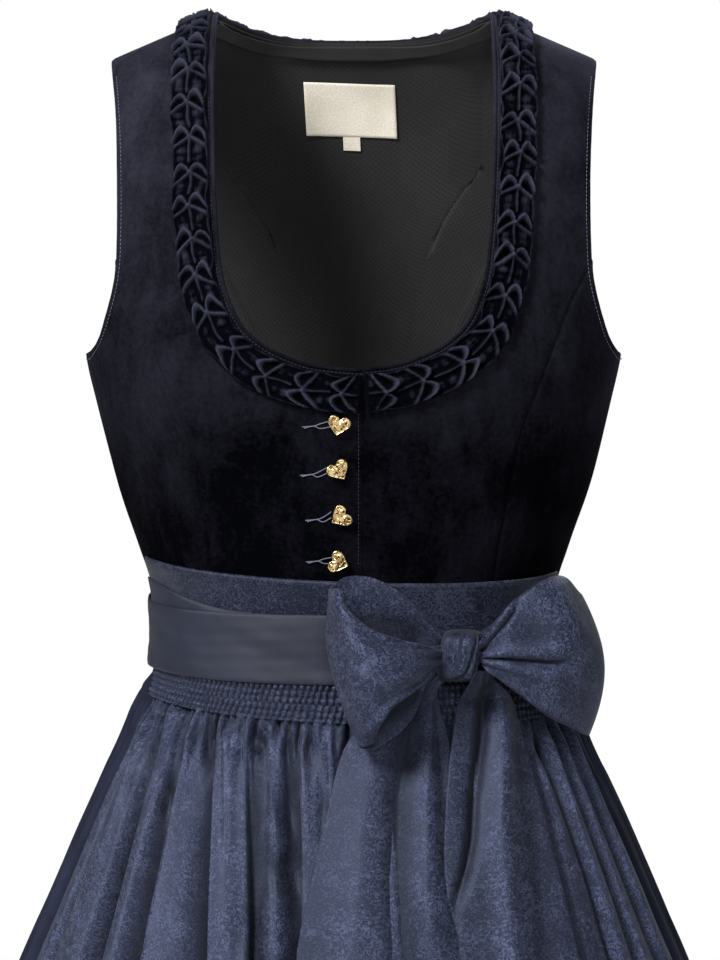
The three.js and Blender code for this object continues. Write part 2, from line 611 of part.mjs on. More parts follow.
// ---------------------------------------------------------------- buttons
function heartButton({ name, x, z, turn }) {
  const count = 20;
  const ring = (scale, height) => Array.from({ length: count }, (_, i) => {
    const t = (-2 * Math.PI * i) / count;
    const across = 16 * Math.sin(t) ** 3;
    const up = 13 * Math.cos(t) - 5 * Math.cos(2 * t) - 2 * Math.cos(3 * t) - Math.cos(4 * t) + 2.5;
    const size = (BUTTON_WIDTH / 32) * scale;
    return V3(across * size, up * size, height);
  });
  const rings = [ring(0.88, 0), ring(1, 1.2), ring(0.74, BUTTON_THICK - 0.35)];
  const points = [...rings.flat(), V3(0, 0, 0), V3(0, 0, BUTTON_THICK)];
  const faces = [];
  for (let r = 0; r < rings.length - 1; r += 1) {
    for (let i = 0; i < count; i += 1) {
      const [a, b] = [r * count + i, r * count + ((i + 1) % count)];
      faces.push([a, b, b + count], [a, b + count, a + count]);
    }
  }
  const [back, front] = [points.length - 2, points.length - 1];
  const top = (rings.length - 1) * count;
  for (let i = 0; i < count; i += 1) {
    const next = (i + 1) % count;
    faces.push([back, next, i], [front, top + i, top + next]);
  }
  const heart = new THREE.BufferGeometry();
  heart.setAttribute('position', new THREE.Float32BufferAttribute(points.flatMap((p) => p.toArray()), 3));
  heart.setIndex(faces.flat());
  const shank = new THREE.CylinderGeometry(2, 2, 2.4, 8).rotateX(Math.PI / 2).translate(0, 0, -0.7);
  const mesh = new THREE.Mesh(join(heart, shank), GOLD());
  const phi = angleAt(x, z);
  const normal = skinNormal(phi, z);
  const right = V3(0, 0, 1).cross(normal).normalize();
  const up = normal.clone().cross(right);
  mesh.name = name;
  mesh.position.copy(offSkin(phi, z, 1.9 + SEAM_GAP));
  mesh.quaternion.setFromRotationMatrix(new THREE.Matrix4().makeBasis(right, up, normal));
  mesh.rotateZ(radians(turn));
  return mesh;
}

function solid(geometry) {
  const bare = geometry.clone();
  bare.deleteAttribute('normal');
  bare.deleteAttribute('uv');
  const merged = mergeVertices(bare, 1e-4);
  return new wasm.Manifold(new wasm.Mesh({
    numProp: 3,
    vertProperties: new Float32Array(merged.attributes.position.array),
    triVerts: new Uint32Array(merged.index.array),
  }));
}

function join(a, b) {
  const { vertProperties, triVerts } = solid(a).add(solid(b)).getMesh();
  const geometry = new THREE.BufferGeometry();
  geometry.setAttribute('position', new THREE.BufferAttribute(vertProperties, 3));
  geometry.setIndex(new THREE.BufferAttribute(triVerts, 1));
  geometry.computeVertexNormals();
  return geometry;
}

// ---------------------------------------------------------------- waistband, ties, smocking
// The waistband's top edge dips at the front and is slightly lower on the wearer's left.
const WAIST_DIP = 9;
const WAIST_SLANT = 5;
const bandTop = (phi) => -340 - WAIST_DIP * ((1 + Math.cos(phi)) / 2) ** 2 - WAIST_SLANT * Math.sin(phi);
const BAND_MEAN = -342;

// A strip round the body between two angles in degrees, of rows at given heights.
function strap(from, to, columns, rowHeights, lift, thick) {
  const layer = (inset) => rowHeights.map((height) => Array.from({ length: columns + 1 }, (_, c) => {
    const phi = radians(lerp(from, to, c / columns));
    return offSkin(phi, height(phi), lift(phi) + inset);
  }));
  return wall(layer(thick), layer(0));
}

// Ties lie on the waistband in front and straight on the skirt behind it.
const BAND_LIFT = 2 * SEAM_GAP;
const overBand = BAND_LIFT + BAND_THICK + SEAM_GAP;
const awayFromFront = (phi) => Math.abs(Math.atan2(Math.sin(phi), Math.cos(phi)));
const tieLift = (phi) => lerp(overBand, BAND_LIFT, smooth(radians(73), radians(88), awayFromFront(phi)));
const KNOT_ANGLE = 24;
const tieTop = (phi) => TIE_TOP_Z + 2 - 2 * Math.cos(phi);
const tieLow = (phi) => tieTop(phi) - TIE_DEPTH + 1.5 * Math.sin(phi) ** 2;

// Rows at even steps between two edges.
const rowsBetween = (top, low, count) => evenShares(count).map((share) => (phi) => lerp(top(phi), low(phi), share));
const waistband = () => strap(-APRON_HALF_ANGLE - 2, APRON_HALF_ANGLE + 2, 30,
  rowsBetween(bandTop, (phi) => bandTop(phi) - WAISTBAND_DEPTH, 3), () => BAND_LIFT, BAND_THICK);

// The tie from the left end of the waistband goes round the back and comes forward on the right.
const tieOuter = () => strap(KNOT_ANGLE - 360 + 52, KNOT_ANGLE, 64, rowsBetween(tieTop, tieLow, 2),
  (phi) => tieLift(phi) + TIE_THICK + SEAM_GAP, TIE_THICK);
const tieInner = () => strap(KNOT_ANGLE + 12, 360 - 74, 50,
  rowsBetween((phi) => tieTop(phi) - 1, (phi) => tieLow(phi) + 1, 2), tieLift, TIE_THICK);
// The inner layer of the folded tie, which shows above the outer one on the right-hand front.
const foldTop = (phi) => tieTop(phi) + lerp(0.5, 17, smooth(radians(27), radians(80), -phi));
const tieFold = () => strap(-73, -27, 10, rowsBetween(foldTop, (phi) => tieLow(phi) + 4, 3),
  tieLift, TIE_THICK);

// Five rows of small puffs show under the tie; the part that the tie covers is plain.
const SMOCK_COLUMNS = 112;
const SMOCK_ROWS = 6;
function smocking() {
  const top = (phi) => bandTop(phi) - WAISTBAND_DEPTH - SEAM_GAP;
  const bottom = (phi) => bandTop(phi) - SMOCK_BOTTOM;
  const firstPuff = (phi) => tieLow(phi) - 0.5;
  const angle = (c, columns) => radians(lerp(-APRON_HALF_ANGLE, APRON_HALF_ANGLE, c / columns));
  const base = 1.1;
  const heights = [top, firstPuff, ...Array.from({ length: SMOCK_ROWS - 1 }, (_, r) => (phi) => (
    lerp(firstPuff(phi), bottom(phi), (r + 1) / (SMOCK_ROWS - 1))))];
  const outer = heights.map((height, r) => Array.from({ length: SMOCK_COLUMNS + 1 }, (_, c) => {
    const phi = angle(c, SMOCK_COLUMNS);
    const puff = r > 1 && (r + c) % 2 === 0 ? SMOCK_RELIEF : 0.25;
    return offSkin(phi, height(phi), SEAM_GAP + base + puff);
  }));
  const coarse = 40;
  const inner = rowsBetween(top, bottom, 3).map((height) => Array.from({ length: coarse + 1 }, (_, c) => (
    offSkin(angle(c, coarse), height(angle(c, coarse)), SEAM_GAP))));
  return wall(outer, inner);
}

// ---------------------------------------------------------------- skirt and apron
// Columns run once round from the wearer's right side seam over the front. A fold has three
// columns: the crease and the two shoulders of its rounded ridge.
const FOLD_COLUMNS = 3;
function foldColumns(creases, seed) {
  return creases.slice(1).flatMap((end, i) => {
    const at = (share) => radians(lerp(creases[i], end, share));
    const deep = 1 + 0.35 * uneven(i, seed + 2);
    return [
      { phi: at(0), out: -0.55 * deep },
      { phi: at(0.3), out: 0.4 * deep },
      { phi: at(0.72), out: 0.5 * deep },
    ];
  });
}

// The back's creases, at uneven steps from one side seam round to the other.
function backCreases() {
  const widths = Array.from({ length: FOLDS_BACK }, (_, i) => 1 + 0.28 * uneven(i, 1));
  const ends = widths.reduce((sums, width) => [...sums, sums[sums.length - 1] + width], [0]);
  return ends.map((end) => 90 + (180 * end) / ends[FOLDS_BACK]);
}
const COLUMNS = [...foldColumns(FRONT_CREASES, 0), ...foldColumns(backCreases(), 1)];

const slantOf = (phi) => bandTop(phi) - BAND_MEAN;

// The folded face of the skirt as a closed ring of points, and the direction out at each.
function skirtFace() {
  const rows = SKIRT_ROWS.map((row) => COLUMNS.map(({ phi, out }) => {
    const z = row.z + row.tilt * slantOf(phi);
    const { x, y } = oval(phi, z);
    const step = 0.004;
    const [a, b] = [oval(phi - step, z), oval(phi + step, z)];
    const outward = V3(b.y - a.y, a.x - b.x, 0).normalize();
    return V3(x, y, z).addScaledVector(outward, out * row.fold - row.inset);
  }));
  const count = COLUMNS.length;
  const normals = rows.map((row, r) => row.map((_, c) => {
    const across = row[(c + 1) % count].clone().sub(row[(c - 1 + count) % count]);
    const up = rows[Math.max(0, r - 1)][c].clone().sub(rows[Math.min(rows.length - 1, r + 1)][c]);
    return across.cross(up).normalize();
  }));
  return { rows, normals };
}
const FACE = skirtFace();

// A wall on the skirt's face from one column to another, moved out along the face's normals.
function drapedWall(firstRow, lastRow, firstColumn, lastColumn, lift, thick) {
  const count = COLUMNS.length;
  const layer = (height) => {
    const grid = [];
    for (let r = firstRow; r <= lastRow; r += 1) {
      const row = [];
      for (let c = firstColumn; c <= lastColumn; c += 1) {
        row.push(FACE.rows[r][c % count].clone().addScaledVector(FACE.normals[r][c % count], height));
      }
      const nudge = (end, next) => end.addScaledVector(next.clone().sub(end).normalize(), SEAM_GAP / 2);
      nudge(row[0], row[1]);
      nudge(row[row.length - 1], row[row.length - 2]);
      grid.push(row);
    }
    return grid;
  };
  return wall(layer(lift), layer(lift - thick));
}

const FRONT_END = (FRONT_CREASES.length - 1) * FOLD_COLUMNS;
const LAST_ROW = SKIRT_ROWS.length - 1;
const skirtFront = () => drapedWall(0, LAST_ROW, 0, FRONT_END, 0, SKIRT_THICK);
const skirtBack = () => drapedWall(0, LAST_ROW, FRONT_END, COLUMNS.length, 0, SKIRT_THICK);
function apron() {
  const inside = COLUMNS.slice(0, FRONT_END)
    .map(({ phi }, c) => ({ c, off: Math.abs(phi) }))
    .filter(({ off }) => off <= radians(APRON_HALF_ANGLE));
  const [first, last] = [inside[0].c, inside[inside.length - 1].c];
  return drapedWall(APRON_ROWS.first, APRON_ROWS.last, first, last, SEAM_GAP * 2 + APRON_THICK, APRON_THICK);
}

// ---------------------------------------------------------------- bow
// A strip of ribbon through a list of cross rows, given its thickness by its own normals.
function ribbon(rows, thick) {
  const normals = rows.map((row, r) => row.map((_, c) => {
    const along = rows[Math.min(rows.length - 1, r + 1)][c].clone().sub(rows[Math.max(0, r - 1)][c]);
    const across = row[Math.min(row.length - 1, c + 1)].clone().sub(row[Math.max(0, c - 1)]);
    return along.cross(across).normalize();
  }));
  const layer = (height) => rows.map((row, r) => row.map((p, c) => (
    p.clone().addScaledVector(normals[r][c], height))));
  return wall(layer(thick / 2), layer(-thick / 2));
}

const LOOP_COLUMNS = 6;
function bowLoop(stations) {
  const rows = stations.map((s) => Array.from({ length: LOOP_COLUMNS + 1 }, (_, c) => {
    const t = c / LOOP_COLUMNS;
    const bulge = s.bulge * 4 * t * (1 - t);
    return V3(lerp(s.xTop, s.xLow, t), lerp(s.yTop, s.yLow, t) - bulge, lerp(s.zTop, s.zLow, t));
  }));
  return ribbon(rows, TIE_THICK);
}

const KNOT = { left: 53.1, right: 77.9, top: -375, bottom: -406.4, back: -91.2, front: -123 };
function bowKnot() {
  const columns = 12;
  const rows = 6;
  const middle = V3((KNOT.left + KNOT.right) / 2, (KNOT.front + KNOT.back) / 2, (KNOT.top + KNOT.bottom) / 2);
  const half = V3((KNOT.right - KNOT.left) / 2, (KNOT.back - KNOT.front) / 2, (KNOT.top - KNOT.bottom) / 2);
  const power = (value, n) => Math.sign(value) * Math.abs(value) ** n;
  const points = [V3(middle.x, middle.y, KNOT.bottom)];
  for (let r = 1; r < rows; r += 1) {
    const tilt = lerp(-Math.PI / 2, Math.PI / 2, r / rows);
    for (let c = 0; c < columns; c += 1) {
      const turn = (2 * Math.PI * c) / columns;
      const ring = power(Math.cos(tilt), 0.35);
      points.push(V3(
        middle.x + half.x * ring * power(Math.cos(turn), 0.6),
        middle.y + half.y * ring * power(Math.sin(turn), 0.6),
        middle.z + half.z * power(Math.sin(tilt), 0.7),
      ));
    }
  }
  points.push(V3(middle.x, middle.y, KNOT.top));
  const last = points.length - 1;
  const at = (r, c) => 1 + (r - 1) * columns + (c % columns);
  const faces = [];
  for (let c = 0; c < columns; c += 1) {
    faces.push([0, at(1, c + 1), at(1, c)], [last, at(rows - 1, c), at(rows - 1, c + 1)]);
    for (let r = 1; r < rows - 1; r += 1) {
      faces.push([at(r, c), at(r, c + 1), at(r + 1, c)], [at(r, c + 1), at(r + 1, c + 1), at(r + 1, c)]);
    }
  }
  const geometry = new THREE.BufferGeometry();
  geometry.setAttribute('position', new THREE.Float32BufferAttribute(points.flatMap((p) => p.toArray()), 3));
  geometry.setIndex(faces.flat());
  geometry.computeVertexNormals();
  return geometry;
}

const TAIL_COLUMNS = 7;
function bowTail(stations, slant) {
  const last = stations.length - 1;
  const rows = stations.map((s, r) => Array.from({ length: TAIL_COLUMNS + 1 }, (_, c) => {
    const t = c / TAIL_COLUMNS;
    const z = s.z - (r === last ? slant * t : 0);
    const x = lerp(s.left, s.right, t);
    const wave = (1 - Math.cos(2 * Math.PI * (t * 1.5 + r * 0.07))) * 0.9 * smooth(0, 3, r);
    return offSkin(angleAt(x, z), z, s.off + wave);
  }));
  return ribbon(rows, TIE_THICK);
}

// ---------------------------------------------------------------- the garment
const garment = new THREE.Group();
function add(name, geometry, material) {
  const mesh = new THREE.Mesh(geometry, material);
  mesh.name = name;
  garment.add(mesh);
}

['right', 'left'].forEach((hand) => {
  add(`front_centre_${hand}`, frontCentre(hand), VELVET());
  add(`front_side_${hand}`, sideWall('front', hand, 0, SHELL_THICK), VELVET());
  add(`back_side_${hand}`, sideWall('back', hand, 0, SHELL_THICK), VELVET());
  add(`lining_side_${hand}`, sideWall('back', hand, LINING_LIFT, LINING_THICK), LINING());
});
add('front_underlap', underlap(), VELVET());
add('back_centre', backCentre(0, SHELL_THICK, 0), VELVET());
add('lining_back', backCentre(LINING_LIFT, LINING_THICK, 1), LINING());
add('neck_facing', neckFacing(), LINING());
add('neck_trim', neckTrim(), RUCHED_VELVET());

const TAB_LIFT = LINING_LIFT - LINING_THICK - 2 * SEAM_GAP;
add('label', innerTab(-31.5, 28, -41, -76, TAB_LIFT, 0.8), LABEL());
add('size_tag', innerTab(-7.3, 3.8, -76.5, -85, TAB_LIFT, 0.8), LABEL());
BUTTONS.forEach((button) => garment.add(heartButton(button)));

add('apron_waistband', waistband(), JACQUARD());
add('apron_smocking', smocking(), JACQUARD());
add('apron_skirt', apron(), JACQUARD());
add('skirt_front', skirtFront(), SKIRT_CLOTH());
add('skirt_back', skirtBack(), SKIRT_CLOTH());

add('tie_outer', tieOuter(), SATIN());
add('tie_inner', tieInner(), SATIN());
add('tie_fold', tieFold(), SATIN());
add('bow_loop_right', bowLoop(LOOP_RIGHT), JACQUARD());
add('bow_loop_left', bowLoop(LOOP_LEFT), JACQUARD());
add('bow_knot', bowKnot(), JACQUARD());
add('bow_tail_right', bowTail(TAIL_RIGHT, -TAIL_SLANT), JACQUARD());
add('bow_tail_left', bowTail(TAIL_LEFT, TAIL_SLANT), JACQUARD());

export default garment;
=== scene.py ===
"""A dirndl: velvet bodice with a ruched neck trim, smocked apron, gathered skirt and a tied bow."""
import math

import bmesh
import bpy
import numpy as np
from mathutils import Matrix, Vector


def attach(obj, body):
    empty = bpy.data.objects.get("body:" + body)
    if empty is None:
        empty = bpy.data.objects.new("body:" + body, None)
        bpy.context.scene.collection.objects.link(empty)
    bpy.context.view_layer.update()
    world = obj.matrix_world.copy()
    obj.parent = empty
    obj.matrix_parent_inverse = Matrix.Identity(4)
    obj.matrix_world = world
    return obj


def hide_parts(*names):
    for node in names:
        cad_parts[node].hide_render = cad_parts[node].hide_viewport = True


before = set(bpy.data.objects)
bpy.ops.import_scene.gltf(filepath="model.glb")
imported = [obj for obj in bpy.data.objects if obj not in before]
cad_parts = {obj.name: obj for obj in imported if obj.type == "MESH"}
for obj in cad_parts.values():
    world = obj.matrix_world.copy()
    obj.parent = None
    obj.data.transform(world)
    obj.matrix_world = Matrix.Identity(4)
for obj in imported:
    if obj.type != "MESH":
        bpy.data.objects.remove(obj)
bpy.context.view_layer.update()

# ---------------------------------------------------------------- camera
LOOK_AT = Vector((0.0038, 0.0, -0.294))
CAMERA_BACK = 2.6
CAMERA_RAISE = math.radians(5)
SENSOR_WIDTH, LENS = 36, 204.7
camera_data = bpy.data.cameras.new("camera")
camera_data.sensor_fit = "HORIZONTAL"
camera_data.sensor_width = SENSOR_WIDTH
camera_data.lens = LENS
camera = bpy.data.objects.new("camera", camera_data)
bpy.context.scene.collection.objects.link(camera)
away = Vector((0, -math.cos(CAMERA_RAISE), math.sin(CAMERA_RAISE)))
camera.location = LOOK_AT + away * CAMERA_BACK
camera.rotation_euler = (-away).to_track_quat("-Z", "Y").to_euler()
bpy.context.scene.camera = camera

# ---------------------------------------------------------------- sizes, in millimetres
SEAM_GAP = 0.3
SHELL_THICK = 2.0
LINING_THICK = 1.0
LINING_LIFT = -SHELL_THICK - 1.2
SKIRT_THICK = 1.2
APRON_THICK = 0.9
TIE_THICK = 1.2
BAND_THICK = 2.0
NECK_HALF = 86.0
SHOULDER_TIP = 153.0
SHOULDER_SLOPE = 0.44
NECK_ROUND = 30.0
RIDGE_Y = 4.0
RIDGE_ROUND = 42.0
BACK_NECK_DIP = 16.0
WAIST_Z = -362.0
CLOSING_X = 5.5
TRIM_MARGIN = 3.5
TRIM_WIDTH = 22.0
TRIM_UNITS = 41
FACING_WIDTH = 10.0
FACING_EASE = 2.6
WAISTBAND_DEPTH = 44.0
TIE_TOP_Z = -369.0
TIE_DEPTH = 43.0
SMOCK_BOTTOM = 87.0
APRON_HALF_ANGLE = 70.0
APRON_HEM_Z = -925.0
HEM_Z = -960.0
FOLDS_BACK = 22
# how much fuller than an ellipse a section of the body is, sideways and to the front
SQUARE_X, SQUARE_Y = 0.08, 0.16
# round numbers for the ways round the bodice, the waist and the top and middle of the skirt
BODICE_RADIUS, WAIST_RADIUS, SKIRT_TOP_RADIUS, SKIRT_RADIUS = 150, 125, 132, 190
SMALL_ANGLE = 0.004

# height, half width, depth to the front, depth to the back
BODY = np.array([
    (0, 168, 52, 62), (-60, 170, 72, 86), (-130, 171, 92, 99), (-213, 169, 112, 102),
    (-240, 163.5, 112, 98), (-294, 150, 103, 90), (-335, 136.5, 96.5, 88), (-362, 128.5, 93, 87),
    (-413, 129, 95, 90), (-430, 134, 98, 95), (-455, 144, 106, 106), (-485, 158, 118, 120),
    (-521, 174, 132, 136), (-565, 192, 149, 155), (-700, 246, 198, 208), (-840, 298, 248, 261),
    (-960, 341, 290, 305)], float)
HALF, FRONT, BACK = 1, 2, 3

# edges and seams of one half, as x and height
NECK_FRONT = [(86, 0), (87, -42), (86, -91), (84, -129), (80, -163), (70, -188), (57, -201),
              (43, -208.5), (25, -214.5), (0, -217.3)]
ARMHOLE_FRONT = [(153, -28), (149, -58), (147.3, -92), (147, -135), (149, -165), (158, -197),
                 (166, -211), (169, -213)]
ARMHOLE_BACK = [(153, -28), (150, -58), (148, -92), (148, -135), (150, -165), (159, -197),
                (166.5, -211), (169, -213)]
SEAM_FRONT = [(147.6, -152), (132, -183), (114, -229), (107, -245), (101.5, -263), (93.7, -305),
              (87.6, -342), (86, -362)]
SEAM_BACK = [(147.9, -112), (118, -130), (93, -154), (78, -184), (68, -204), (57, -255), (50, -310),
             (47, -362)]

# ---------------------------------------------------------------- small helpers
FULL_TURN = 6.2832
WAVE_TURN, WAVE_HALF_TURN, WAVE_PARTS = 6.28, 3.14, 6


def lerp(a, b, t):
    return a + (b - a) * t


def smooth(start, end, value):
    """Rises softly from 0 at the start to 1 at the end."""
    t = np.clip((value - start) / (end - start), 0, 1)
    return t * t * (3 - 2 * t)


def bump(value, centre, width):
    """One soft hump, 1 high."""
    return np.exp(-((value - centre) / width) ** 2)


def uneven(i, k):
    """A number between -1 and 1 that differs from each i to the next."""
    return np.sin(i * 2.399 + k * 1.7) * 0.6 + np.sin(i * 5.13 + k) * 0.4


def waves(u, v, seed, size):
    """Soft irregular waves between -1 and 1 over two directions, about one hump for each size."""
    rng = np.random.default_rng(seed)
    turns = rng.uniform(0, math.pi, WAVE_PARTS)
    phases = rng.uniform(0, WAVE_TURN, WAVE_PARTS)
    scales = rng.uniform(0.7, 1.6, WAVE_PARTS)
    total = 0
    for turn, phase, scale in zip(turns, phases, scales):
        way = u * math.cos(turn) + v * math.sin(turn)
        total = total + np.sin(way * WAVE_HALF_TURN * scale / size + phase)
    return total / 4


def size_at(column, z):
    """One size of the body at a height, on a smooth curve through the table."""
    zs, values = BODY[:, 0], BODY[:, column]
    z = np.clip(z, zs[-1], zs[0])
    slopes = np.diff(values) / np.diff(zs)
    bends = np.concatenate([slopes[:1], (slopes[1:] + slopes[:-1]) / 2, slopes[-1:]])
    i = np.clip(np.searchsorted(-zs, -z, side="right") - 1, 0, len(zs) - 2)
    span = zs[i + 1] - zs[i]
    t = (z - zs[i]) / span
    rest = 1 - t
    return (values[i] * rest * rest * (1 + 2 * t) + values[i + 1] * t * t * (3 - 2 * t)
            + span * (bends[i] * t * rest * rest - bends[i + 1] * t * t * rest))


def oval(phi, z):
    """x and y of the body's section at a height, at an angle round it."""
    s, c = np.sin(phi), np.cos(phi)
    depth = np.where(c > 0, size_at(FRONT, z), size_at(BACK, z))
    return size_at(HALF, z) * s * (1 + SQUARE_X * c * c), -depth * c * (1 + SQUARE_Y * s * s)


def angle_at(x, z):
    """The angle round the body, from the front and positive towards +X, of a point on the front."""
    target = np.minimum(1, np.abs(x) / size_at(HALF, z))
    low = np.zeros_like(target)
    high = np.full_like(target, math.pi / 2)
    for _ in range(26):
        mid = (low + high) / 2
        short = np.sin(mid) * (1 + SQUARE_X * np.cos(mid) ** 2) < target
        low, high = np.where(short, mid, low), np.where(short, high, mid)
    return np.sign(x) * low


def angle_on(side, x, z):
    """The same angle for a point on the front or on the back."""
    return angle_at(x, z) if side == "front" else math.pi - angle_at(x, z)


def ridge(x):
    """The height of the shoulders' top line."""
    return -SHOULDER_SLOPE * (np.hypot(x, NECK_ROUND) - math.hypot(NECK_HALF, NECK_ROUND))


QUARTER_TURN = RIDGE_ROUND * math.pi / 2


def fall_of(way):
    """The height lost on a way down from the ridge, first over the round of the shoulder."""
    turned = np.minimum(way, QUARTER_TURN) / RIDGE_ROUND
    return np.where(way < QUARTER_TURN, RIDGE_ROUND * (1 - np.cos(turned)), way - QUARTER_TURN + RIDGE_ROUND)


def way_of(fall):
    """The way down from the ridge that loses a height."""
    near = np.arccos(np.clip(1 - np.clip(fall, 0, RIDGE_ROUND) / RIDGE_ROUND, -1, 1)) * RIDGE_ROUND
    return np.where(fall < RIDGE_ROUND, near, fall + QUARTER_TURN - RIDGE_ROUND)


def skin(phi, z):
    """A point on the outer face of the body."""
    x, y = oval(phi, z)
    fall = np.clip(ridge(x) - z, 0, RIDGE_ROUND)
    turned = np.sqrt(1 - (1 - fall / RIDGE_ROUND) ** 2)
    return np.stack([x, RIDGE_Y + (y - RIDGE_Y) * turned, z + 0 * x], -1)


def unit(v):
    """Directions of length one."""
    return v / np.maximum(np.linalg.norm(v, axis=-1, keepdims=True), 1e-9)


def skin_normal(phi, z):
    """The direction straight out of the body's outer face."""
    top = np.minimum(z + 0.05, ridge(oval(phi, z)[0]))
    across = skin(phi + SMALL_ANGLE, z) - skin(phi - SMALL_ANGLE, z)
    up = skin(phi, top) - skin(phi, top - 0.1)
    return unit(np.cross(across, up))


def off_skin(phi, z, lift):
    """Points that stand a lift off the body's outer face."""
    return skin(phi, z) + skin_normal(phi, z) * np.asarray(lift)[..., None]


def steps_of(points):
    """How far along each point of a line lies."""
    return np.concatenate([[0], np.cumsum(np.linalg.norm(np.diff(points, axis=0), axis=1))])


def along(points, places, goals):
    """Points of a line at given ways along it."""
    return np.stack([np.interp(goals, places, points[:, k]) for k in range(points.shape[1])], -1)


# ---------------------------------------------------------------- edges drawn as smooth curves
class Edge:
    """A smooth line through rows of x and height on the front or the back."""

    def __init__(self, rows):
        points = np.array(rows, float)
        ends = np.concatenate([points[:1], points, points[-1:]])
        t = np.linspace(0, 1, 40, endpoint=False)[:, None]
        parts = []
        for a, b, c, d in zip(ends, ends[1:], ends[2:], ends[3:]):
            start, end = (c - a) / 2, (d - b) / 2
            parts.append((2 * b - 2 * c + start + end) * t ** 3
                         + (-3 * b + 3 * c - 2 * start - end) * t ** 2 + start * t + b)
        self.points = np.concatenate(parts + [points[-1:]])
        self.share = steps_of(self.points)
        self.share /= self.share[-1]

    def at(self, share):
        return along(self.points, self.share, share)

    def share_at(self, z):
        return float(np.interp(-z, -self.points[:, 1], self.share))

    def share_beyond(self, x):
        """The share of the last point that lies farther out than x."""
        return float(self.share[np.nonzero(self.points[:, 0] > x)[0][-1]])

    def stretch(self, side, start, end, count):
        """Points from one share to another, at even steps over the body."""
        fine = self.at(np.linspace(start, end, 400))
        places = steps_of(skin(angle_on(side, fine[:, 0], fine[:, 1]), fine[:, 1]))
        return along(fine, places, np.linspace(0, places[-1], count))


neck_front = Edge(NECK_FRONT)
armhole_front = Edge(ARMHOLE_FRONT)
armhole_back = Edge(ARMHOLE_BACK)
seam_front = Edge(SEAM_FRONT)
seam_back = Edge(SEAM_BACK)


def neck_back_z(x):
    """The height of the back's neck edge."""
    return -BACK_NECK_DIP * (1 - np.abs(x / NECK_HALF) ** 3)


# ---------------------------------------------------------------- cloth as a mesh
def face_normals(face):
    """The direction out of a face of cloth at each of its points."""
    down = np.gradient(face, axis=0)
    across = np.gradient(face, axis=1)
    return unit(np.cross(down, across))


def flat_map(face):
    """Where each point of a cloth face lies on its flat cut, in metres, from its middle."""
    across = np.linalg.norm(np.diff(face, axis=1), axis=2)
    down = np.linalg.norm(np.diff(face, axis=0), axis=2)
    u = np.concatenate([np.zeros((face.shape[0], 1)), np.cumsum(across, axis=1)], axis=1)
    v = np.concatenate([np.zeros((1, face.shape[1])), np.cumsum(down, axis=0)], axis=0)
    middle = face.shape[1] // 2
    u = u - u[:, middle:middle + 1]
    even = u.mean(axis=0, keepdims=True)
    return np.stack([lerp(even, u, 0.6), -v.mean(axis=1, keepdims=True) + 0 * u], -1) / 1000


def make_mesh(name, points, faces, uv, kinds, materials, painted_light=None):
    """A piece from points in millimetres; its painted light, from 0 in the hollows to 1 on the tops of folds,
    is the painted shade and highlight its finish reads.
    """
    mesh = bpy.data.meshes.new(name)
    mesh.from_pydata([tuple(p) for p in np.asarray(points) / 1000], [], [tuple(f) for f in faces])
    if uv is not None:
        layer = mesh.uv_layers.new(name="cut")
        corners = np.empty(len(mesh.loops), np.int32)
        mesh.loops.foreach_get("vertex_index", corners)
        layer.data.foreach_set("uv", np.asarray(uv, np.float32)[corners].ravel())
    painted_light = np.full(len(points), 0.5) if painted_light is None else np.clip(painted_light, 0, 1)
    tops = mesh.attributes.new("painted_light", "FLOAT", "POINT")
    tops.data.foreach_set("value", np.asarray(painted_light, np.float32))
    if kinds is not None:
        mesh.polygons.foreach_set("material_index", np.asarray(kinds, np.int32))
    mesh.polygons.foreach_set("use_smooth", np.ones(len(mesh.polygons), bool))
    for material in materials:
        mesh.materials.append(material)
    mesh.update()
    piece = bpy.data.objects.new(name, mesh)
    bpy.context.scene.collection.objects.link(piece)
    return piece


def cloth(name, face, thick, outer, inner=None, uv=None, roll=0.4, lay=None, painted_light=None):
    """A wall of cloth behind an outer face of points: rows run down, columns anticlockwise round
    the body seen from above. Its edge is rounded, and its inner face may have another finish."""
    rows, columns = face.shape[:2]
    normals = face_normals(face) if lay is None else lay
    back = face - normals * thick
    uv = flat_map(face) if uv is None else uv
    grid = np.arange(rows * columns).reshape(rows, columns)
    quads = np.stack([grid[:-1, :-1], grid[1:, :-1], grid[1:, 1:], grid[:-1, 1:]], -1).reshape(-1, 4)
    count = rows * columns
    border = np.concatenate([grid[0, :-1], grid[:-1, -1], grid[-1, :0:-1], grid[:0:-1, 0]])
    flat_face, flat_back = face.reshape(-1, 3), back.reshape(-1, 3)
    inward = np.empty_like(face)
    inward[1:-1, 1:-1] = face[1:-1, 1:-1]
    inward[0], inward[-1] = face[1], face[-2]
    inward[1:-1, 0], inward[1:-1, -1] = face[1:-1, 1], face[1:-1, -2]
    inward[[0, 0, -1, -1], [0, -1, 0, -1]] = face[[1, 1, -2, -2], [1, -2, 1, -2]]
    out = unit(face - inward).reshape(-1, 3)[border]
    middle = (flat_face[border] + flat_back[border]) / 2 + out * thick * roll
    ring = 2 * count + np.arange(len(border))
    after = np.roll(np.arange(len(border)), -1)
    rim = [np.stack([border, border[after], ring[after], ring], -1),
           np.stack([ring, ring[after], count + border[after], count + border], -1)]
    faces = np.concatenate([quads, count + quads[:, ::-1], *rim])
    kinds = np.zeros(len(faces), int)
    if inner is not None:
        kinds[len(quads):2 * len(quads)] = 1
    points = np.concatenate([flat_face, flat_back, middle])
    cut = uv.reshape(-1, 2)
    cut = np.concatenate([cut, cut, cut[border]])
    shade = np.full(count, 0.5) if painted_light is None else painted_light.ravel()
    shade = np.concatenate([shade, shade, shade[border]])
    finishes = [outer] if inner is None else [outer, inner]
    return make_mesh(name, points, faces, cut, kinds, finishes, shade)


CORD_CUT = 0.003


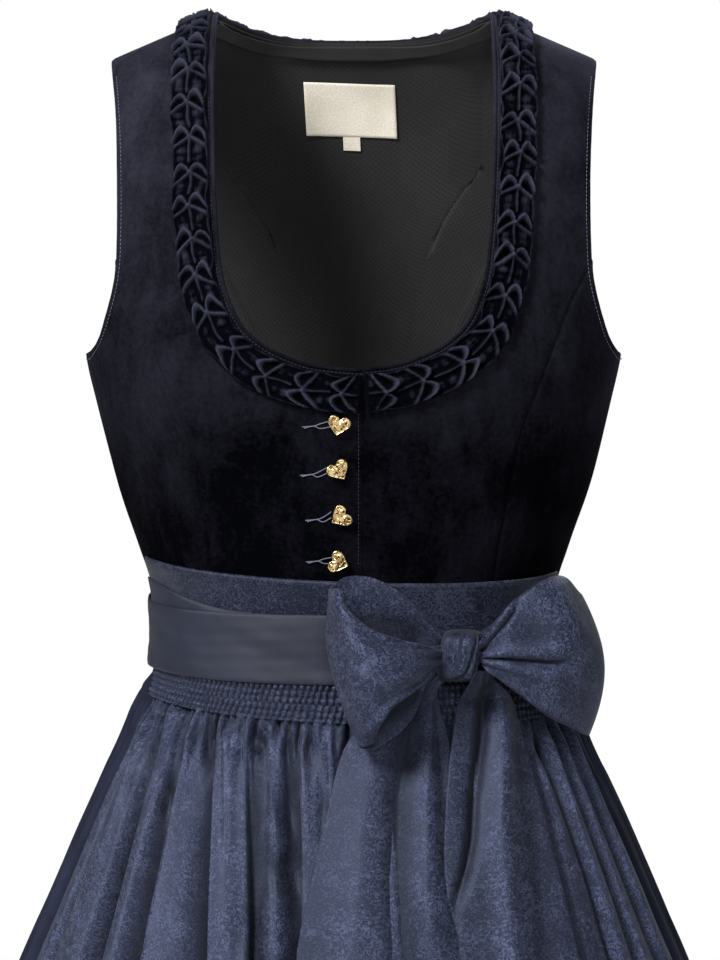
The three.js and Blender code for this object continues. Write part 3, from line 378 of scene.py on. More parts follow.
def tube(name, path, radius, material, sides, normal=None):
    """A round cord along a line of points, with closed ends."""
    path = np.asarray(path, float)
    tangent = unit(np.gradient(path, axis=0))
    first = np.array([0.0, 0.0, 1.0]) if normal is None else normal
    side = unit(np.cross(tangent, np.broadcast_to(first, tangent.shape) + 1e-6))
    lift = unit(np.cross(side, tangent))
    turn = np.arange(sides) * 2 * math.pi / sides
    radii = np.broadcast_to(np.asarray(radius, float), (len(path),))[:, None, None]
    ring = side[:, None] * np.cos(turn)[None, :, None] + lift[:, None] * np.sin(turn)[None, :, None]
    points = (path[:, None] + ring * radii).reshape(-1, 3)
    index = np.arange(len(path) * sides).reshape(len(path), sides)
    faces = []
    for a, b in zip(index, index[1:]):
        faces += [(a[k], b[k], b[(k + 1) % sides], a[(k + 1) % sides]) for k in range(sides)]
    faces += [tuple(index[0]), tuple(index[-1][::-1])]
    round_it = np.tile(turn / (2 * math.pi) * CORD_CUT, len(path))
    uv = np.stack([round_it, np.repeat(steps_of(path) / 1000, sides)], -1)
    piece = make_mesh(name, points, faces, uv, None, [material])
    outward(piece)
    return piece


def outward(piece):
    """Turns the faces of a closed mesh outwards."""
    bpy.context.view_layer.objects.active = piece
    work = bmesh.new()
    work.from_mesh(piece.data)
    bmesh.ops.recalc_face_normals(work, faces=work.faces)
    work.to_mesh(piece.data)
    work.free()


def dress(piece, slot, *nodes):
    """The piece moves with the garment, and stands for the plain solids named."""
    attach(piece, "root")
    if nodes:
        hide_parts(*nodes)
    return piece


# ---------------------------------------------------------------- finishes
class Finish:
    """A material built of named nodes, with a short way to add and join them."""

    def __init__(self, name):
        self.material = bpy.data.materials.new(name)
        self.material.use_nodes = True
        self.nodes = self.material.node_tree.nodes
        self.links = self.material.node_tree.links
        self.shader = self.nodes["Principled BSDF"]

    def add(self, kind, inputs=(), **settings):
        """A node with its settings, whose inputs are values or other nodes' outputs."""
        node = self.nodes.new(kind)
        for key, value in settings.items():
            setattr(node, key, value)
        for key, value in dict(inputs).items():
            if isinstance(value, bpy.types.NodeSocket):
                self.links.new(value, node.inputs[key])
            else:
                node.inputs[key].default_value = value
        return node

    def math(self, operation, *values):
        node = self.add("ShaderNodeMath", dict(enumerate(values)), operation=operation)
        return node.outputs[0]

    def set(self, **values):
        """Values of the finish itself; a low line stands for a gap in a name."""
        for key, value in values.items():
            socket = self.shader.inputs[key.replace("_", " ")]
            if isinstance(value, bpy.types.NodeSocket):
                self.links.new(value, socket)
            else:
                socket.default_value = value

    def place(self, on_cloth=False, scale=(1, 1, 1)):
        """Places on the cloth's own cut, or in the garment's own space."""
        if on_cloth:
            source = self.add("ShaderNodeUVMap", uv_map="cut").outputs[0]
        else:
            source = self.add("ShaderNodeTexCoord").outputs["Object"]
        return self.add("ShaderNodeMapping", {"Vector": source, "Scale": scale}).outputs[0]

    def noise(self, place, scale, detail, roughness=0.5, distortion=0.0):
        inputs = {"Vector": place, "Scale": scale, "Detail": detail, "Roughness": roughness,
                  "Distortion": distortion}
        return self.add("ShaderNodeTexNoise", inputs).outputs["Fac"]

    def attribute(self, name):
        return self.add("ShaderNodeAttribute", attribute_name=name).outputs["Fac"]

    def ramp(self, value, *stops):
        """Colours at positions, with soft steps between them."""
        node = self.add("ShaderNodeValToRGB", {"Fac": value})
        elements = node.color_ramp.elements
        while len(elements) < len(stops):
            elements.new(0.5)
        for element, (position, colour) in zip(elements, stops):
            element.position = position
            element.color = (*colour, 1) if len(colour) == 3 else colour
        return node.outputs["Color"]

    def mix(self, share, a, b, blend="MIX"):
        """A share of colour b laid over colour a."""
        node = self.add("ShaderNodeMix", data_type="RGBA", blend_type=blend)
        for index, value in ((0, share), (6, a), (7, b)):
            if isinstance(value, bpy.types.NodeSocket):
                self.links.new(value, node.inputs[index])
            elif index and len(value) == 3:
                node.inputs[index].default_value = (*value, 1)
            else:
                node.inputs[index].default_value = value
        return node.outputs[2]

    def relief(self, height, depth, strength, under=None):
        """Fine relief of a height field; under is a coarser one it lies on."""
        inputs = {"Height": height, "Distance": depth, "Strength": strength}
        if under is not None:
            inputs["Normal"] = under
        return self.add("ShaderNodeBump", inputs).outputs[0]


def threads(finish, place, across, down):
    """The over and under of a plain weave: heights between 0 and 1."""
    parts = finish.add("ShaderNodeSeparateXYZ", {"Vector": place})
    warp = finish.math("SINE", finish.math("MULTIPLY", parts.outputs[0], FULL_TURN / across))
    weft = finish.math("SINE", finish.math("MULTIPLY", parts.outputs[1], FULL_TURN / down))
    return finish.math("MULTIPLY_ADD", finish.math("MULTIPLY", warp, weft), 0.5, 0.5)


def velvet_finish(name, low, high, nap, ruched=False):
    """Cut pile: nearly black, mottled where the nap is brushed, most strongly on the upper bodice,
    which is painted lighter towards the top: a painted sheen, where the sheen itself is stronger too.
    On the ruched strip the colour is painted lighter on the tops of the folds and darker in their hollows:
    painted highlight and painted shade."""
    velvet = Finish(name)
    body = velvet.place()
    clouds = velvet.noise(body, 14, 4, 0.6, 0.4)
    brushed = velvet.noise(velvet.place(scale=(1, 1, 0.35)), 55, 4, 0.65)
    height = velvet.add("ShaderNodeSeparateXYZ", {"Vector": body}).outputs[2]
    # This mask rises from 0 low on the bodice to 1 near its top: it paints the velvet lighter up there, a
    # painted sheen, and raises the sheen weight.
    wear_and_sheen = velvet.add("ShaderNodeMapRange", {0: height, 1: -0.3, 2: -0.06, 3: 0.0, 4: 1.0}).outputs[0]
    grain = velvet.noise(body, 330, 4, 0.7)
    tone = velvet.math("ADD", velvet.math("MULTIPLY", clouds, 0.46), velvet.math("MULTIPLY", brushed, 0.3))
    tone = velvet.math("MULTIPLY_ADD", grain, 0.24, tone)
    patchy = velvet.math("MULTIPLY_ADD", wear_and_sheen, 0.6, 0.4)
    tone = velvet.math("MULTIPLY_ADD", velvet.math("SUBTRACT", tone, 0.5), patchy, 0.49)
    # painted sheen: the velvet is painted lighter towards the top of the bodice
    tone = velvet.math("MULTIPLY_ADD", wear_and_sheen, 0.17, tone)
    if ruched:
        # painted highlight on the tops of the ruched folds and painted shade in their hollows
        painted_light = velvet.attribute("painted_light")
        tone = velvet.math("MULTIPLY_ADD", painted_light, 0.48, velvet.math("MULTIPLY", tone, 0.64))
    velvet.set(Base_Color=velvet.ramp(tone, (0.48, low), (0.84, high)), Roughness=0.95)
    velvet.set(Sheen_Weight=velvet.math("MULTIPLY", wear_and_sheen, nap), Sheen_Roughness=0.4,
               Sheen_Tint=(0.42, 0.44, 0.68, 1), Specular_IOR_Level=0.02)
    pile = velvet.noise(body, 1500, 2, 0.6)
    velvet.set(Normal=velvet.relief(pile, 0.0004, 0.6, velvet.relief(brushed, 0.0016, 0.4)))
    return velvet.material


def lining_finish():
    """Soft dark cloth with pin dots woven in, set in staggered rows."""
    lining = Finish("dotted_lining")
    cut = lining.place(True)
    parts = lining.add("ShaderNodeSeparateXYZ", {"Vector": cut})
    step, dot_radius = 0.0036, 0.00055

    def dots(shift):
        sides = [lining.math("PINGPONG", lining.math("ADD", parts.outputs[k], shift), step / 2)
                 for k in (0, 1)]
        far = lining.math("SQRT", lining.math("ADD", *(lining.math("POWER", side, 2.0) for side in sides)))
        return lining.math("LESS_THAN", far, dot_radius)

    spots = lining.math("MAXIMUM", dots(0.0), dots(step / 2))
    weave = threads(lining, cut, 0.0005, 0.0005)
    shade = lining.noise(lining.place(), 25, 3)
    ground = lining.ramp(shade, (0.3, (0.009, 0.0088, 0.0098)), (0.7, (0.0138, 0.0132, 0.0145)))
    lining.set(Base_Color=lining.mix(spots, ground, (0.003, 0.003, 0.0035)), Roughness=0.82,
               Specular_IOR_Level=0.3, Sheen_Weight=0.06)
    height = lining.math("SUBTRACT", lining.math("MULTIPLY", weave, 0.4), lining.math("MULTIPLY", spots, 0.8))
    lining.set(Normal=lining.relief(height, 0.0003, 0.7))
    return lining.material


def painted_fold_light(finish):
    """Painted shade in the hollows between folds, and painted highlight on their tops."""
    return finish.ramp(finish.attribute("painted_light"), (0.0, (0.22, 0.22, 0.25)), (0.5, (1.0, 1.0, 1.0)),
                       (1.0, (1.5, 1.5, 1.46)))


def damask_finish(name, ground, figure, shine):
    """Satin ground with small woven scrolls and leaves in loose clumps, tone on tone, with painted shade in
    the hollows between folds and painted highlight on their tops.
    """
    damask = Finish(name)
    cut = damask.place(True)
    # the cut is bent a little, so that the scrolls curl
    bend = damask.add("ShaderNodeTexNoise", {"Vector": cut, "Scale": 150.0, "Detail": 2.0}).outputs["Color"]
    soft = damask.add("ShaderNodeVectorMath", {0: bend, 1: (0.5, 0.5, 0.5)}, operation="SUBTRACT").outputs[0]
    soft = damask.add("ShaderNodeVectorMath", {0: soft, "Scale": 0.005}, operation="SCALE").outputs[0]
    bent = damask.add("ShaderNodeVectorMath", {0: cut, 1: soft}, operation="ADD").outputs[0]
    curls = damask.noise(bent, 330, 1.5, 0.5, 1.2)
    lines = damask.math("ABSOLUTE", damask.math("SUBTRACT", curls, 0.5))
    leaves = damask.noise(bent, 700, 1, 0.5, 0.6)
    clumps = damask.noise(cut, 48, 2, 0.55, 0.8)
    thin = damask.math("MULTIPLY_ADD", clumps, 0.1, -0.005)
    scroll = damask.math("GREATER_THAN", damask.math("SUBTRACT", thin, lines), 0.0)
    spots = damask.math("GREATER_THAN", damask.math("MULTIPLY_ADD", clumps, 0.3, leaves), 0.77)
    woven = damask.math("MAXIMUM", damask.math("MULTIPLY", scroll, 0.8), spots)
    off_edge = damask.math("ABSOLUTE", damask.math("SUBTRACT", thin, lines))
    outline = damask.math("LESS_THAN", off_edge, 0.014)
    parts = damask.add("ShaderNodeSeparateXYZ", {"Vector": cut})
    rib_width = 0.00045
    rib = damask.math("SINE", damask.math("MULTIPLY", parts.outputs[0], FULL_TURN / rib_width))
    fleck = damask.noise(cut, 1300, 2)
    cloud = damask.noise(cut, 30, 3, 0.6)
    colour = damask.mix(woven, ground, figure)
    # the dark outline woven round the scrolls: the cloth's own colour
    outline_and_painted_shadow = tuple(0.35 * part for part in ground)
    colour = damask.mix(damask.math("MULTIPLY", outline, 0.75), colour, outline_and_painted_shadow)
    mottle_and_painted_light = damask.ramp(damask.math("MULTIPLY_ADD", cloud, 0.5, damask.math("MULTIPLY", fleck, 0.5)),
                      (0.32, (0.82, 0.82, 0.84)), (0.68, (1.2, 1.2, 1.18)))
    # painted shade in the hollows between folds and painted highlight on their tops
    mottle_and_painted_light = damask.mix(1.0, mottle_and_painted_light, painted_fold_light(damask), "MULTIPLY")
    damask.set(Base_Color=damask.mix(1.0, colour, mottle_and_painted_light, "MULTIPLY"),
               Roughness=damask.math("MULTIPLY_ADD", woven, 0.2, shine))
    damask.set(Sheen_Weight=0.05, Specular_IOR_Level=0.3, Specular_Tint=(0.62, 0.72, 1.0, 1))
    height = damask.math("ADD", damask.math("MULTIPLY", woven, 0.7), damask.math("MULTIPLY", rib, 0.15))
    damask.set(Normal=damask.relief(height, 0.0003, 0.6))
    return damask.material


def plain_finish(name, low, high, roughness, thread, shine=0.4, sheen=0.1):
    """Plain weave in one colour, a little cloudy, with painted shade in the hollows between folds and painted
    highlight on their tops; thread is the width of one thread.
    """
    plain = Finish(name)
    cut = plain.place(True)
    weave = threads(plain, cut, thread, thread)
    shade = plain.noise(plain.place(), 30, 4, 0.55)
    fleck = plain.noise(cut, 900, 2)
    colour = plain.ramp(shade, (0.3, low), (0.7, high))
    mottle_and_painted_light = plain.ramp(fleck, (0.3, (0.85, 0.85, 0.85)), (0.7, (1.12, 1.12, 1.12)))
    # painted shade in the hollows between folds and painted highlight on their tops
    mottle_and_painted_light = plain.mix(1.0, mottle_and_painted_light, painted_fold_light(plain), "MULTIPLY")
    plain.set(Base_Color=plain.mix(1.0, colour, mottle_and_painted_light, "MULTIPLY"), Roughness=roughness)
    plain.set(Specular_IOR_Level=shine, Sheen_Weight=sheen)
    plain.set(Normal=plain.relief(weave, thread * 0.25, 0.6))
    return plain.material


def gold_finish():
    """Bright metal with uneven wear and small hammered pits, darker inside them."""
    gold = Finish("hammered_gold")
    pits = gold.add("ShaderNodeTexVoronoi", {"Vector": gold.place(), "Scale": 430.0, "Smoothness": 0.3},
                    feature="SMOOTH_F1").outputs["Distance"]
    wear_and_sheen = gold.noise(gold.place(), 420, 3)
    bright = gold.ramp(wear_and_sheen, (0.25, (0.5, 0.33, 0.13)), (0.7, (0.8, 0.62, 0.33)))
    raised = gold.ramp(pits, (0.2, (0.0, 0.0, 0.0)), (0.42, (1.0, 1.0, 1.0)))
    gold.set(Base_Color=gold.mix(raised, (0.13, 0.07, 0.018), bright), Metallic=1.0,
             Roughness=gold.math("MULTIPLY_ADD", wear_and_sheen, 0.2, 0.2))
    gold.set(Normal=gold.relief(raised, 0.0006, 0.6))
    return gold.material


VELVET = velvet_finish("navy_velvet", (0.0004, 0.0005, 0.0012), (0.027, 0.027, 0.041), 0.1)
TRIM_VELVET = velvet_finish("trim_velvet", (0.0007, 0.0009, 0.002), (0.03, 0.032, 0.05), 0.07, True)
LINING = lining_finish()
PLAIN_LINING = plain_finish("plain_lining", (0.004, 0.004, 0.0045), (0.008, 0.008, 0.009), 0.7, 0.0004)
DAMASK = damask_finish("navy_damask", (0.0095, 0.012, 0.0265), (0.0495, 0.0572, 0.107), 0.38)
SATIN = plain_finish("slate_satin", (0.0085, 0.0106, 0.022), (0.014, 0.0172, 0.0338), 0.45, 0.0003, 0.3, 0.02)
SKIRT_CLOTH = plain_finish("navy_cotton", (0.006, 0.0075, 0.017), (0.012, 0.0148, 0.032), 0.85, 0.0005,
                           0.15, 0.0)
THREAD = plain_finish("blue_thread", (0.09, 0.1, 0.14), (0.13, 0.14, 0.19), 0.6, 0.0002)
DARK_THREAD = plain_finish("navy_thread", (0.008, 0.01, 0.02), (0.016, 0.019, 0.036), 0.6, 0.0002)
LABEL = plain_finish("cream_tape", (0.62, 0.57, 0.47), (0.72, 0.67, 0.57), 0.75, 0.0004)
GOLD = gold_finish()

# ---------------------------------------------------------------- bodice
SHOULDER_STEPS, NECK_STEPS, CLOSING_STEPS, ARM_STEPS, SEAM_STEPS = 24, 48, 24, 18, 54
FRONT_COLUMNS, SIDE_COLUMNS, SIDE_ROWS, BACK_COLUMNS = 44, 24, 64, 85
SHOULDER_WAYS = np.linspace(0.0004, 1, SHOULDER_STEPS + 1) * QUARTER_TURN
BACK_START = 0.003 * QUARTER_TURN
SEAM_DEPTH, SEAM_REACH = 0.75, 1.5
SOFT_EASE, LINING_EASE = 0.45, 0.2


def over_shoulder(edge):
    """Rows down the shoulder's outer end, from its top seam to where the armhole starts."""
    rows = []
    for way in SHOULDER_WAYS:
        fall = float(fall_of(way))
        x = float(edge.at(edge.share_at(float(ridge(SHOULDER_TIP)) - fall))[0])
        rows.append((x, float(ridge(x)) - fall))
    return np.array(rows)


def over_neck():
    """Rows down the shoulder's inner end, beside the neck."""
    x = NECK_HALF + SEAM_GAP
    return np.stack([np.full(len(SHOULDER_WAYS), x), ridge(x) - fall_of(SHOULDER_WAYS)], -1)


def edge_shares(columns):
    """Shares across a panel for its columns, closer together towards its two seams."""
    t = np.linspace(0, 1, columns)
    return t - 0.86 * np.sin(2 * math.pi * t) / (2 * math.pi)


def seam_roll(face, sides=(True, True)):
    """How far the cloth dives into the seams at its first and last column, with small puckers."""
    steps = np.linalg.norm(np.diff(face, axis=1), axis=2)
    walk = np.concatenate([np.zeros((len(face), 1)), np.cumsum(steps, axis=1)], axis=1)
    first, last = walk, walk[:, -1:] - walk
    roll = np.zeros(walk.shape)
    for way, wanted in zip((first, last), sides):
        if wanted:
            pucker = 1 + 0.35 * np.sin(face[..., 2] * 0.9 + 2 * np.sin(face[..., 2] * 0.13))
            roll = roll + np.exp(-(way / SEAM_REACH) ** 1.5) * SEAM_DEPTH
            roll = roll + np.exp(-(way / 5) ** 2) * 0.16 * (pucker - 1)
    return roll


def panel_face(side, left, right, columns, rolled, by_angle=False, lift=0.0, ease=SOFT_EASE):
    """The face between two edges, which have the same number of stations. Rolled says at which of
    the two the cloth dives into a seam, and ease is how much it ripples between them."""
    phi_left, phi_right = (angle_on(side, e[:, 0], e[:, 1]) for e in (left, right))
    width = np.linalg.norm(skin(phi_left, left[:, 1]) - skin(phi_right, right[:, 1]), axis=1)
    inset = (SEAM_GAP / 2 / np.maximum(width, 1))[:, None]
    t = lerp(inset, 1 - inset, edge_shares(columns)[None, :])
    z = lerp(left[:, 1:], right[:, 1:], t)
    x = lerp(left[:, :1], right[:, :1], t)
    phi = lerp(phi_left[:, None], phi_right[:, None], t) if by_angle else angle_on(side, x, z)
    raised = lift + 0 * z
    bare = off_skin(phi, z, raised)
    way = phi * BODICE_RADIUS
    fold = waves(way, z, 3, 70) + 0.6 * waves(way + z * 0.4, z * 0.5, 8, 26)
    calm = smooth(2, 30, ridge(bare[..., 0]) - z)
    height = raised - seam_roll(bare, rolled) + ease * fold * calm
    return off_skin(phi, z, height)


def arm_start(edge):
    """Where an armhole leaves the round of the shoulder."""
    return edge.share_at(float(ridge(SHOULDER_TIP)) - RIDGE_ROUND)


def front_edges(closing_x):
    """A front's edges: along the neck and down the closing, and down the armhole and its seam."""
    start = neck_front.share_at(float(ridge(NECK_HALF)) - RIDGE_ROUND)
    neck = neck_front.stretch("front", start, neck_front.share_beyond(closing_x), NECK_STEPS + 1)[1:]
    down = np.linspace(neck[-1, 1], WAIST_Z, CLOSING_STEPS + 1)[1:]
    closing = np.stack([np.full(CLOSING_STEPS, closing_x), down], -1)
    arm_end = armhole_front.share_at(SEAM_FRONT[0][1])
    arm = armhole_front.stretch("front", arm_start(armhole_front), arm_end, ARM_STEPS + 1)
    seam = seam_front.stretch("front", 0, 1, SEAM_STEPS + 1)
    return (np.concatenate([over_neck(), neck, closing]),
            np.concatenate([over_shoulder(armhole_front), arm[1:], seam[1:]]))


def mirrored(rows):
    return rows * np.array([-1.0, 1.0])


def right_front_edges():
    """The same for the wearer's right front, which laps past the middle as far as the closing edge."""
    inner, outer = front_edges(0.0)
    closing = mirrored(inner)
    closing[-CLOSING_STEPS - 1:, 0] = CLOSING_X
    return mirrored(outer), closing


def front_piece(hand):
    if hand == "right":
        face = panel_face("front", *right_front_edges(), FRONT_COLUMNS, (True, False))
    else:
        face = panel_face("front", *front_edges(CLOSING_X + SEAM_GAP), FRONT_COLUMNS, (False, True))
    piece = cloth(f"velvet_front_{hand}", face, SHELL_THICK, VELVET, PLAIN_LINING)
    return dress(piece, "velvet", f"front_centre_{hand}")


def side_edges(side):
    """A side piece's edges: its seam, and the armhole with the side of the body below it."""
    if side == "front":
        armhole, seam, first, arm_steps = armhole_front, seam_front, SEAM_FRONT[0], 26
    else:
        armhole, seam, first, arm_steps = armhole_back, seam_back, SEAM_BACK[0], 34
    arm = armhole.stretch(side, armhole.share_at(first[1] - 4), 1, arm_steps)
    z = np.linspace(arm[-1, 1], WAIST_Z, SIDE_ROWS - arm_steps + 1)[1:]
    outer = np.concatenate([arm, np.stack([size_at(HALF, z), z], -1)])
    return seam.stretch(side, 0, 1, SIDE_ROWS), outer


def side_piece(side, hand, name, lift, thick, finishes, node, slot, ease=SOFT_EASE):
    inner, outer = side_edges(side)
    left, right = (outer, inner) if (side == "front") == (hand == "right") else (inner, outer)
    if hand == "right":
        left, right = mirrored(left), mirrored(right)
    face = panel_face(side, left, right, SIDE_COLUMNS, (True, True), True, lift, ease)
    return dress(cloth(name, face, thick, *finishes), slot, node)


def back_face(lift, neck_drop, ease=SOFT_EASE):
    """The whole back: rows from the shoulders and the neck edge down to the waist."""
    arm = armhole_back.stretch("back", arm_start(armhole_back), armhole_back.share_at(SEAM_BACK[0][1]), 13)
    seam = seam_back.stretch("back", 0, 1, SEAM_STEPS + 1)
    edge = np.concatenate([over_shoulder(armhole_back), arm[1:], seam[1:]])
    neck_share = NECK_HALF / SHOULDER_TIP
    columns = edge_shares(BACK_COLUMNS)[::-1] * 2 - 1
    half = edge[:, :1] - SEAM_GAP / 2
    x = columns[None, :] * half
    top_x = columns * SHOULDER_TIP
    blend = smooth(neck_share + 0.012, neck_share - 0.012, np.abs(columns))
    neck_way = way_of(ridge(top_x) - neck_back_z(np.clip(top_x, -NECK_HALF, NECK_HALF))) + neck_drop
    start = lerp(BACK_START, np.maximum(neck_way, 0.2), blend)[None, :]
    own_way = way_of(ridge(edge[:, :1]) - edge[:, 1:])
    share = (own_way - BACK_START) / (way_of(ridge(edge[:, :1]) - WAIST_Z) - BACK_START)
    way = lerp(start, way_of(ridge(x) - WAIST_Z), share)
    z = ridge(x) - fall_of(way)
    phi = math.pi - angle_at(x, z)
    raised = lift + 0 * z
    bare = off_skin(phi, z, raised)
    way = phi * BODICE_RADIUS
    fold = waves(way, z, 5, 80) + 0.5 * waves(way + z * 0.3, z * 0.5, 9, 30)
    calm = smooth(2, 30, ridge(x) - z)
    return off_skin(phi, z, raised - seam_roll(bare) + ease * fold * calm)


def underlap():
    """The button stand under the closing edge."""
    side_seam, closing = (rows[-CLOSING_STEPS - 1:] for rows in right_front_edges())
    first, last = (closing + (closing - side_seam) * share for share in (-0.18, 0.03))
    face = panel_face("front", first, last, 12, (False, False), lift=-SHELL_THICK - SEAM_GAP, ease=0)
    return dress(cloth("velvet_underlap", face, 1.0, VELVET), "velvet", "front_underlap")


for hand in ("right", "left"):
    front_piece(hand)
    side_piece("front", hand, f"velvet_front_side_{hand}", 0, SHELL_THICK, (VELVET, PLAIN_LINING),
               f"front_side_{hand}", "velvet")
    side_piece("back", hand, f"velvet_back_side_{hand}", 0, SHELL_THICK, (VELVET, PLAIN_LINING),
               f"back_side_{hand}", "velvet")
    side_piece("back", hand, f"dotted_lining_side_{hand}", LINING_LIFT, LINING_THICK, (LINING,),
               f"lining_side_{hand}", "lining", LINING_EASE)
dress(cloth("velvet_back", back_face(0, 0), SHELL_THICK, VELVET, PLAIN_LINING), "velvet", "back_centre")
lining_face = back_face(LINING_LIFT, 1, LINING_EASE)
dress(cloth("dotted_lining_back", lining_face, LINING_THICK, LINING), "lining", "lining_back")
underlap()

# ---------------------------------------------------------------- strips round the neck
def shoulder_point(x, way, lift=0.0):
    """A point told by x and the way down from the ridge: plus on the front, minus on the back."""
    z = ridge(x) - fall_of(np.abs(way))
    phi = np.where(way > 0, angle_at(x, z), math.pi - angle_at(x, z))
    return off_skin(phi, z, lift + 0 * z)


def neck_line():
    """The neck edge from the closing edge over the wearer's right shoulder and back again."""
    front = neck_front.stretch("front", 0, 1, 700)
    ways = way_of(ridge(front[:, 0]) - front[:, 1])
    kept = ways > 1
    front, ways = front[kept], ways[kept]
    x = NECK_HALF * np.cos(math.pi * (np.arange(400) + 0.5) / 400)
    back = np.stack([x, -way_of(ridge(x) - neck_back_z(x))], -1)
    left = np.stack([front[:, 0], ways], -1)[front[:, 0] > CLOSING_X + 0.9]
    right = np.stack([-front[:, 0], ways], -1)
    overlap = np.stack([np.linspace(CLOSING_X - 0.9, 0.2, 12), np.full(12, ways[-1])], -1)
    return np.concatenate([overlap, right[::-1], back[::-1], left])


def side_walk(line, count, reach):
    """Stations along the neck line, and the places beside each of them, a millimetre apart."""
    points = shoulder_point(line[:, 0], line[:, 1])
    places = steps_of(points)
    goals = np.linspace(0, places[-1], count)
    at = along(line, places, goals)
    heading = unit(np.gradient(along(points, places, goals), axis=0))
    walk = [at.copy()]
    x, way = at[:, 0].copy(), at[:, 1].copy()
    for _ in range(reach):
        ex = shoulder_point(x + 0.5, way) - shoulder_point(x - 0.5, way)
        ew = shoulder_point(x, way + 0.5) - shoulder_point(x, way - 0.5)
        go = unit(np.cross(heading, unit(np.cross(ex, ew))))
        xx, xw, ww = (ex * ex).sum(1), (ex * ew).sum(1), (ew * ew).sum(1)
        gx, gw = (go * ex).sum(1), (go * ew).sum(1)
        det = xx * ww - xw * xw
        x = x + (ww * gx - xw * gw) / det
        way = way + (xx * gw - xw * gx) / det
        walk.append(np.stack([x, way], -1))
    return np.array(walk), goals


def beside(walk, distances, stations):
    """Places at given distances beside given stations."""
    low = np.clip(np.floor(distances).astype(int), 0, len(walk) - 2)
    t = (distances - low)[..., None]
    return lerp(walk[low, stations], walk[low + 1, stations], t)


UNIT_STEPS, WALK_REACH = 30, 30
trim_walk, trim_way = side_walk(neck_line(), TRIM_UNITS * UNIT_STEPS + 1, WALK_REACH)


def trim_height(s, t, half):
    """The ruched strip: s counts pinches down from the nape, t runs from -1 to 1 across it. Above
    each pinch stand two curled lobes, and below it two slanting ridges and a thin spine."""
    s = s + 0.035 * waves(s * 3, t + 9 * half, 91, 1.3)
    unit_number = np.round(s)
    own = unit_number + 40 * half
    away = s - unit_number - 0.05 * uneven(own, 3)
    across = t - 0.13 * uneven(own, 5) * bump(away, 0, 0.3) + 0.07 * waves(s * 2.5 + 7 * half, t, 92, 1.0)
    side = np.abs(across)
    size = 1 + 0.3 * uneven(own + (across > 0) * 7, 1)
    curl = 0.14 * side ** 4 - 0.27 * size * np.sin(math.pi * np.clip(side, 0, 1) ** 0.9)
    to_curl = away - curl
    curls = 4.4 * size * np.where(to_curl < 0, bump(to_curl, 0, 0.06), bump(to_curl, 0, 0.15))
    curls = curls * smooth(1.04, 0.92, side) * smooth(0.0, 0.1, side)
    slant = 0.34 * side ** 1.1
    slants = 3.3 * size * bump(away, slant + 0.07 * uneven(own + (across > 0) * 3, 2) * side, 0.08)
    slants = slants * smooth(1.03, 0.85, side)
    hollow = smooth(0, 0.06, to_curl) * smooth(0, 0.06, slant - away)
    below = np.clip(smooth(-0.02, 0.05, away) + smooth(-0.24, -0.3, away), 0, 1)
    spine = 2.6 * bump(across, 0, 0.1) * below
    knot = 4.6 * bump(away, 0, 0.06) * bump(across, 0, 0.13)
    panel = 1.9 * size * bump(np.abs(away), 0.4, 0.15) * bump(side, 0.5, 0.32)
    rim = 2.2 * bump(side, 0.96, 0.06)
    rough = 0.34 * waves(s * 9, t * 6, 93, 1.0) + 0.3 * waves(s * 4 + half, t * 3, 94, 1.0)
    raised = sum(part ** 3 for part in (curls, slants, spine, knot, panel, rim)) ** (1 / 3)
    return 1.0 - 0.5 * hollow + rough + raised


def neck_trim():
    """The ruched strip sewn round the neck, from the closing edge round to it again."""
    columns = 35
    t = np.linspace(-1, 1, columns)[:, None]
    stations = np.arange(trim_walk.shape[1])[None, :]
    s = stations / UNIT_STEPS - TRIM_UNITS / 2
    at_back = smooth(-4, -20, trim_walk[0, :, 1])[None, :]
    distance = TRIM_MARGIN + TRIM_WIDTH * (t + 1) / 2 - 2.3 * at_back
    narrow = 0.5 * np.abs(np.sin(math.pi * s)) * np.sign(t) * (np.abs(t) > 0.9)
    distance = np.clip(distance + narrow, 0, WALK_REACH - 0.1)
    place = beside(trim_walk, distance, stations + np.zeros((columns, 1), int))
    height = trim_height(np.abs(s) + 0 * t, t + 0 * s, s > 0)
    ends = smooth(0, 3, trim_way) * smooth(trim_way[-1], trim_way[-1] - 3, trim_way)
    height = lerp(2.4, height, ends[None, :])
    face = shoulder_point(place[..., 0], place[..., 1], 1.1 + height)
    seat = shoulder_point(place[..., 0], place[..., 1], 0.5 + 0 * height)
    face, seat = face[:, ::-1], seat[:, ::-1]
    # painted highlight on the raised ruches and painted shade in the hollows between them
    painted_light = (height[:, ::-1] - 1.2) / 4.2
    lay = face - seat
    return cloth("ruched_trim", face, 1.0, TRIM_VELVET, uv=flat_map(seat), lay=lay, roll=0.1, painted_light=painted_light)


dress(neck_trim(), "trim_velvet", "neck_trim")


def beside_neck(distance, lift, step):
    """A line that follows the neck edge at a distance; step leaves stations out."""
    stations = np.arange(trim_walk.shape[1])
    place = beside(trim_walk, np.full(len(stations), distance), stations)[::step]
    return shoulder_point(place[:, 0], place[:, 1], lift)


PIPING_RADIUS = 1.15
dress(tube("neck_piping", beside_neck(0.25, -0.35, 3), PIPING_RADIUS, VELVET, 8), "velvet")


def facing():
    """The narrow strip that faces the back of the neck on the inside."""
    count, rows = 130, 9
    line = neck_line()
    walk, _ = side_walk(line[line[:, 1] < -3], count, 13)
    distances = np.linspace(0.8, FACING_WIDTH, rows)[:, None]
    stations = np.arange(count)
    place = beside(walk, distances + 0.0 * stations, stations + np.zeros((rows, 1), int))
    ends = smooth(0, 16, stations) * smooth(count - 1, count - 17, stations)
    lift = LINING_LIFT - LINING_THICK - lerp(0.5, FACING_EASE, ends)
    face = shoulder_point(place[..., 0], place[..., 1], lift[None, :])
    return cloth("neck_facing_strip", face[:, ::-1], 1.0, PLAIN_LINING)


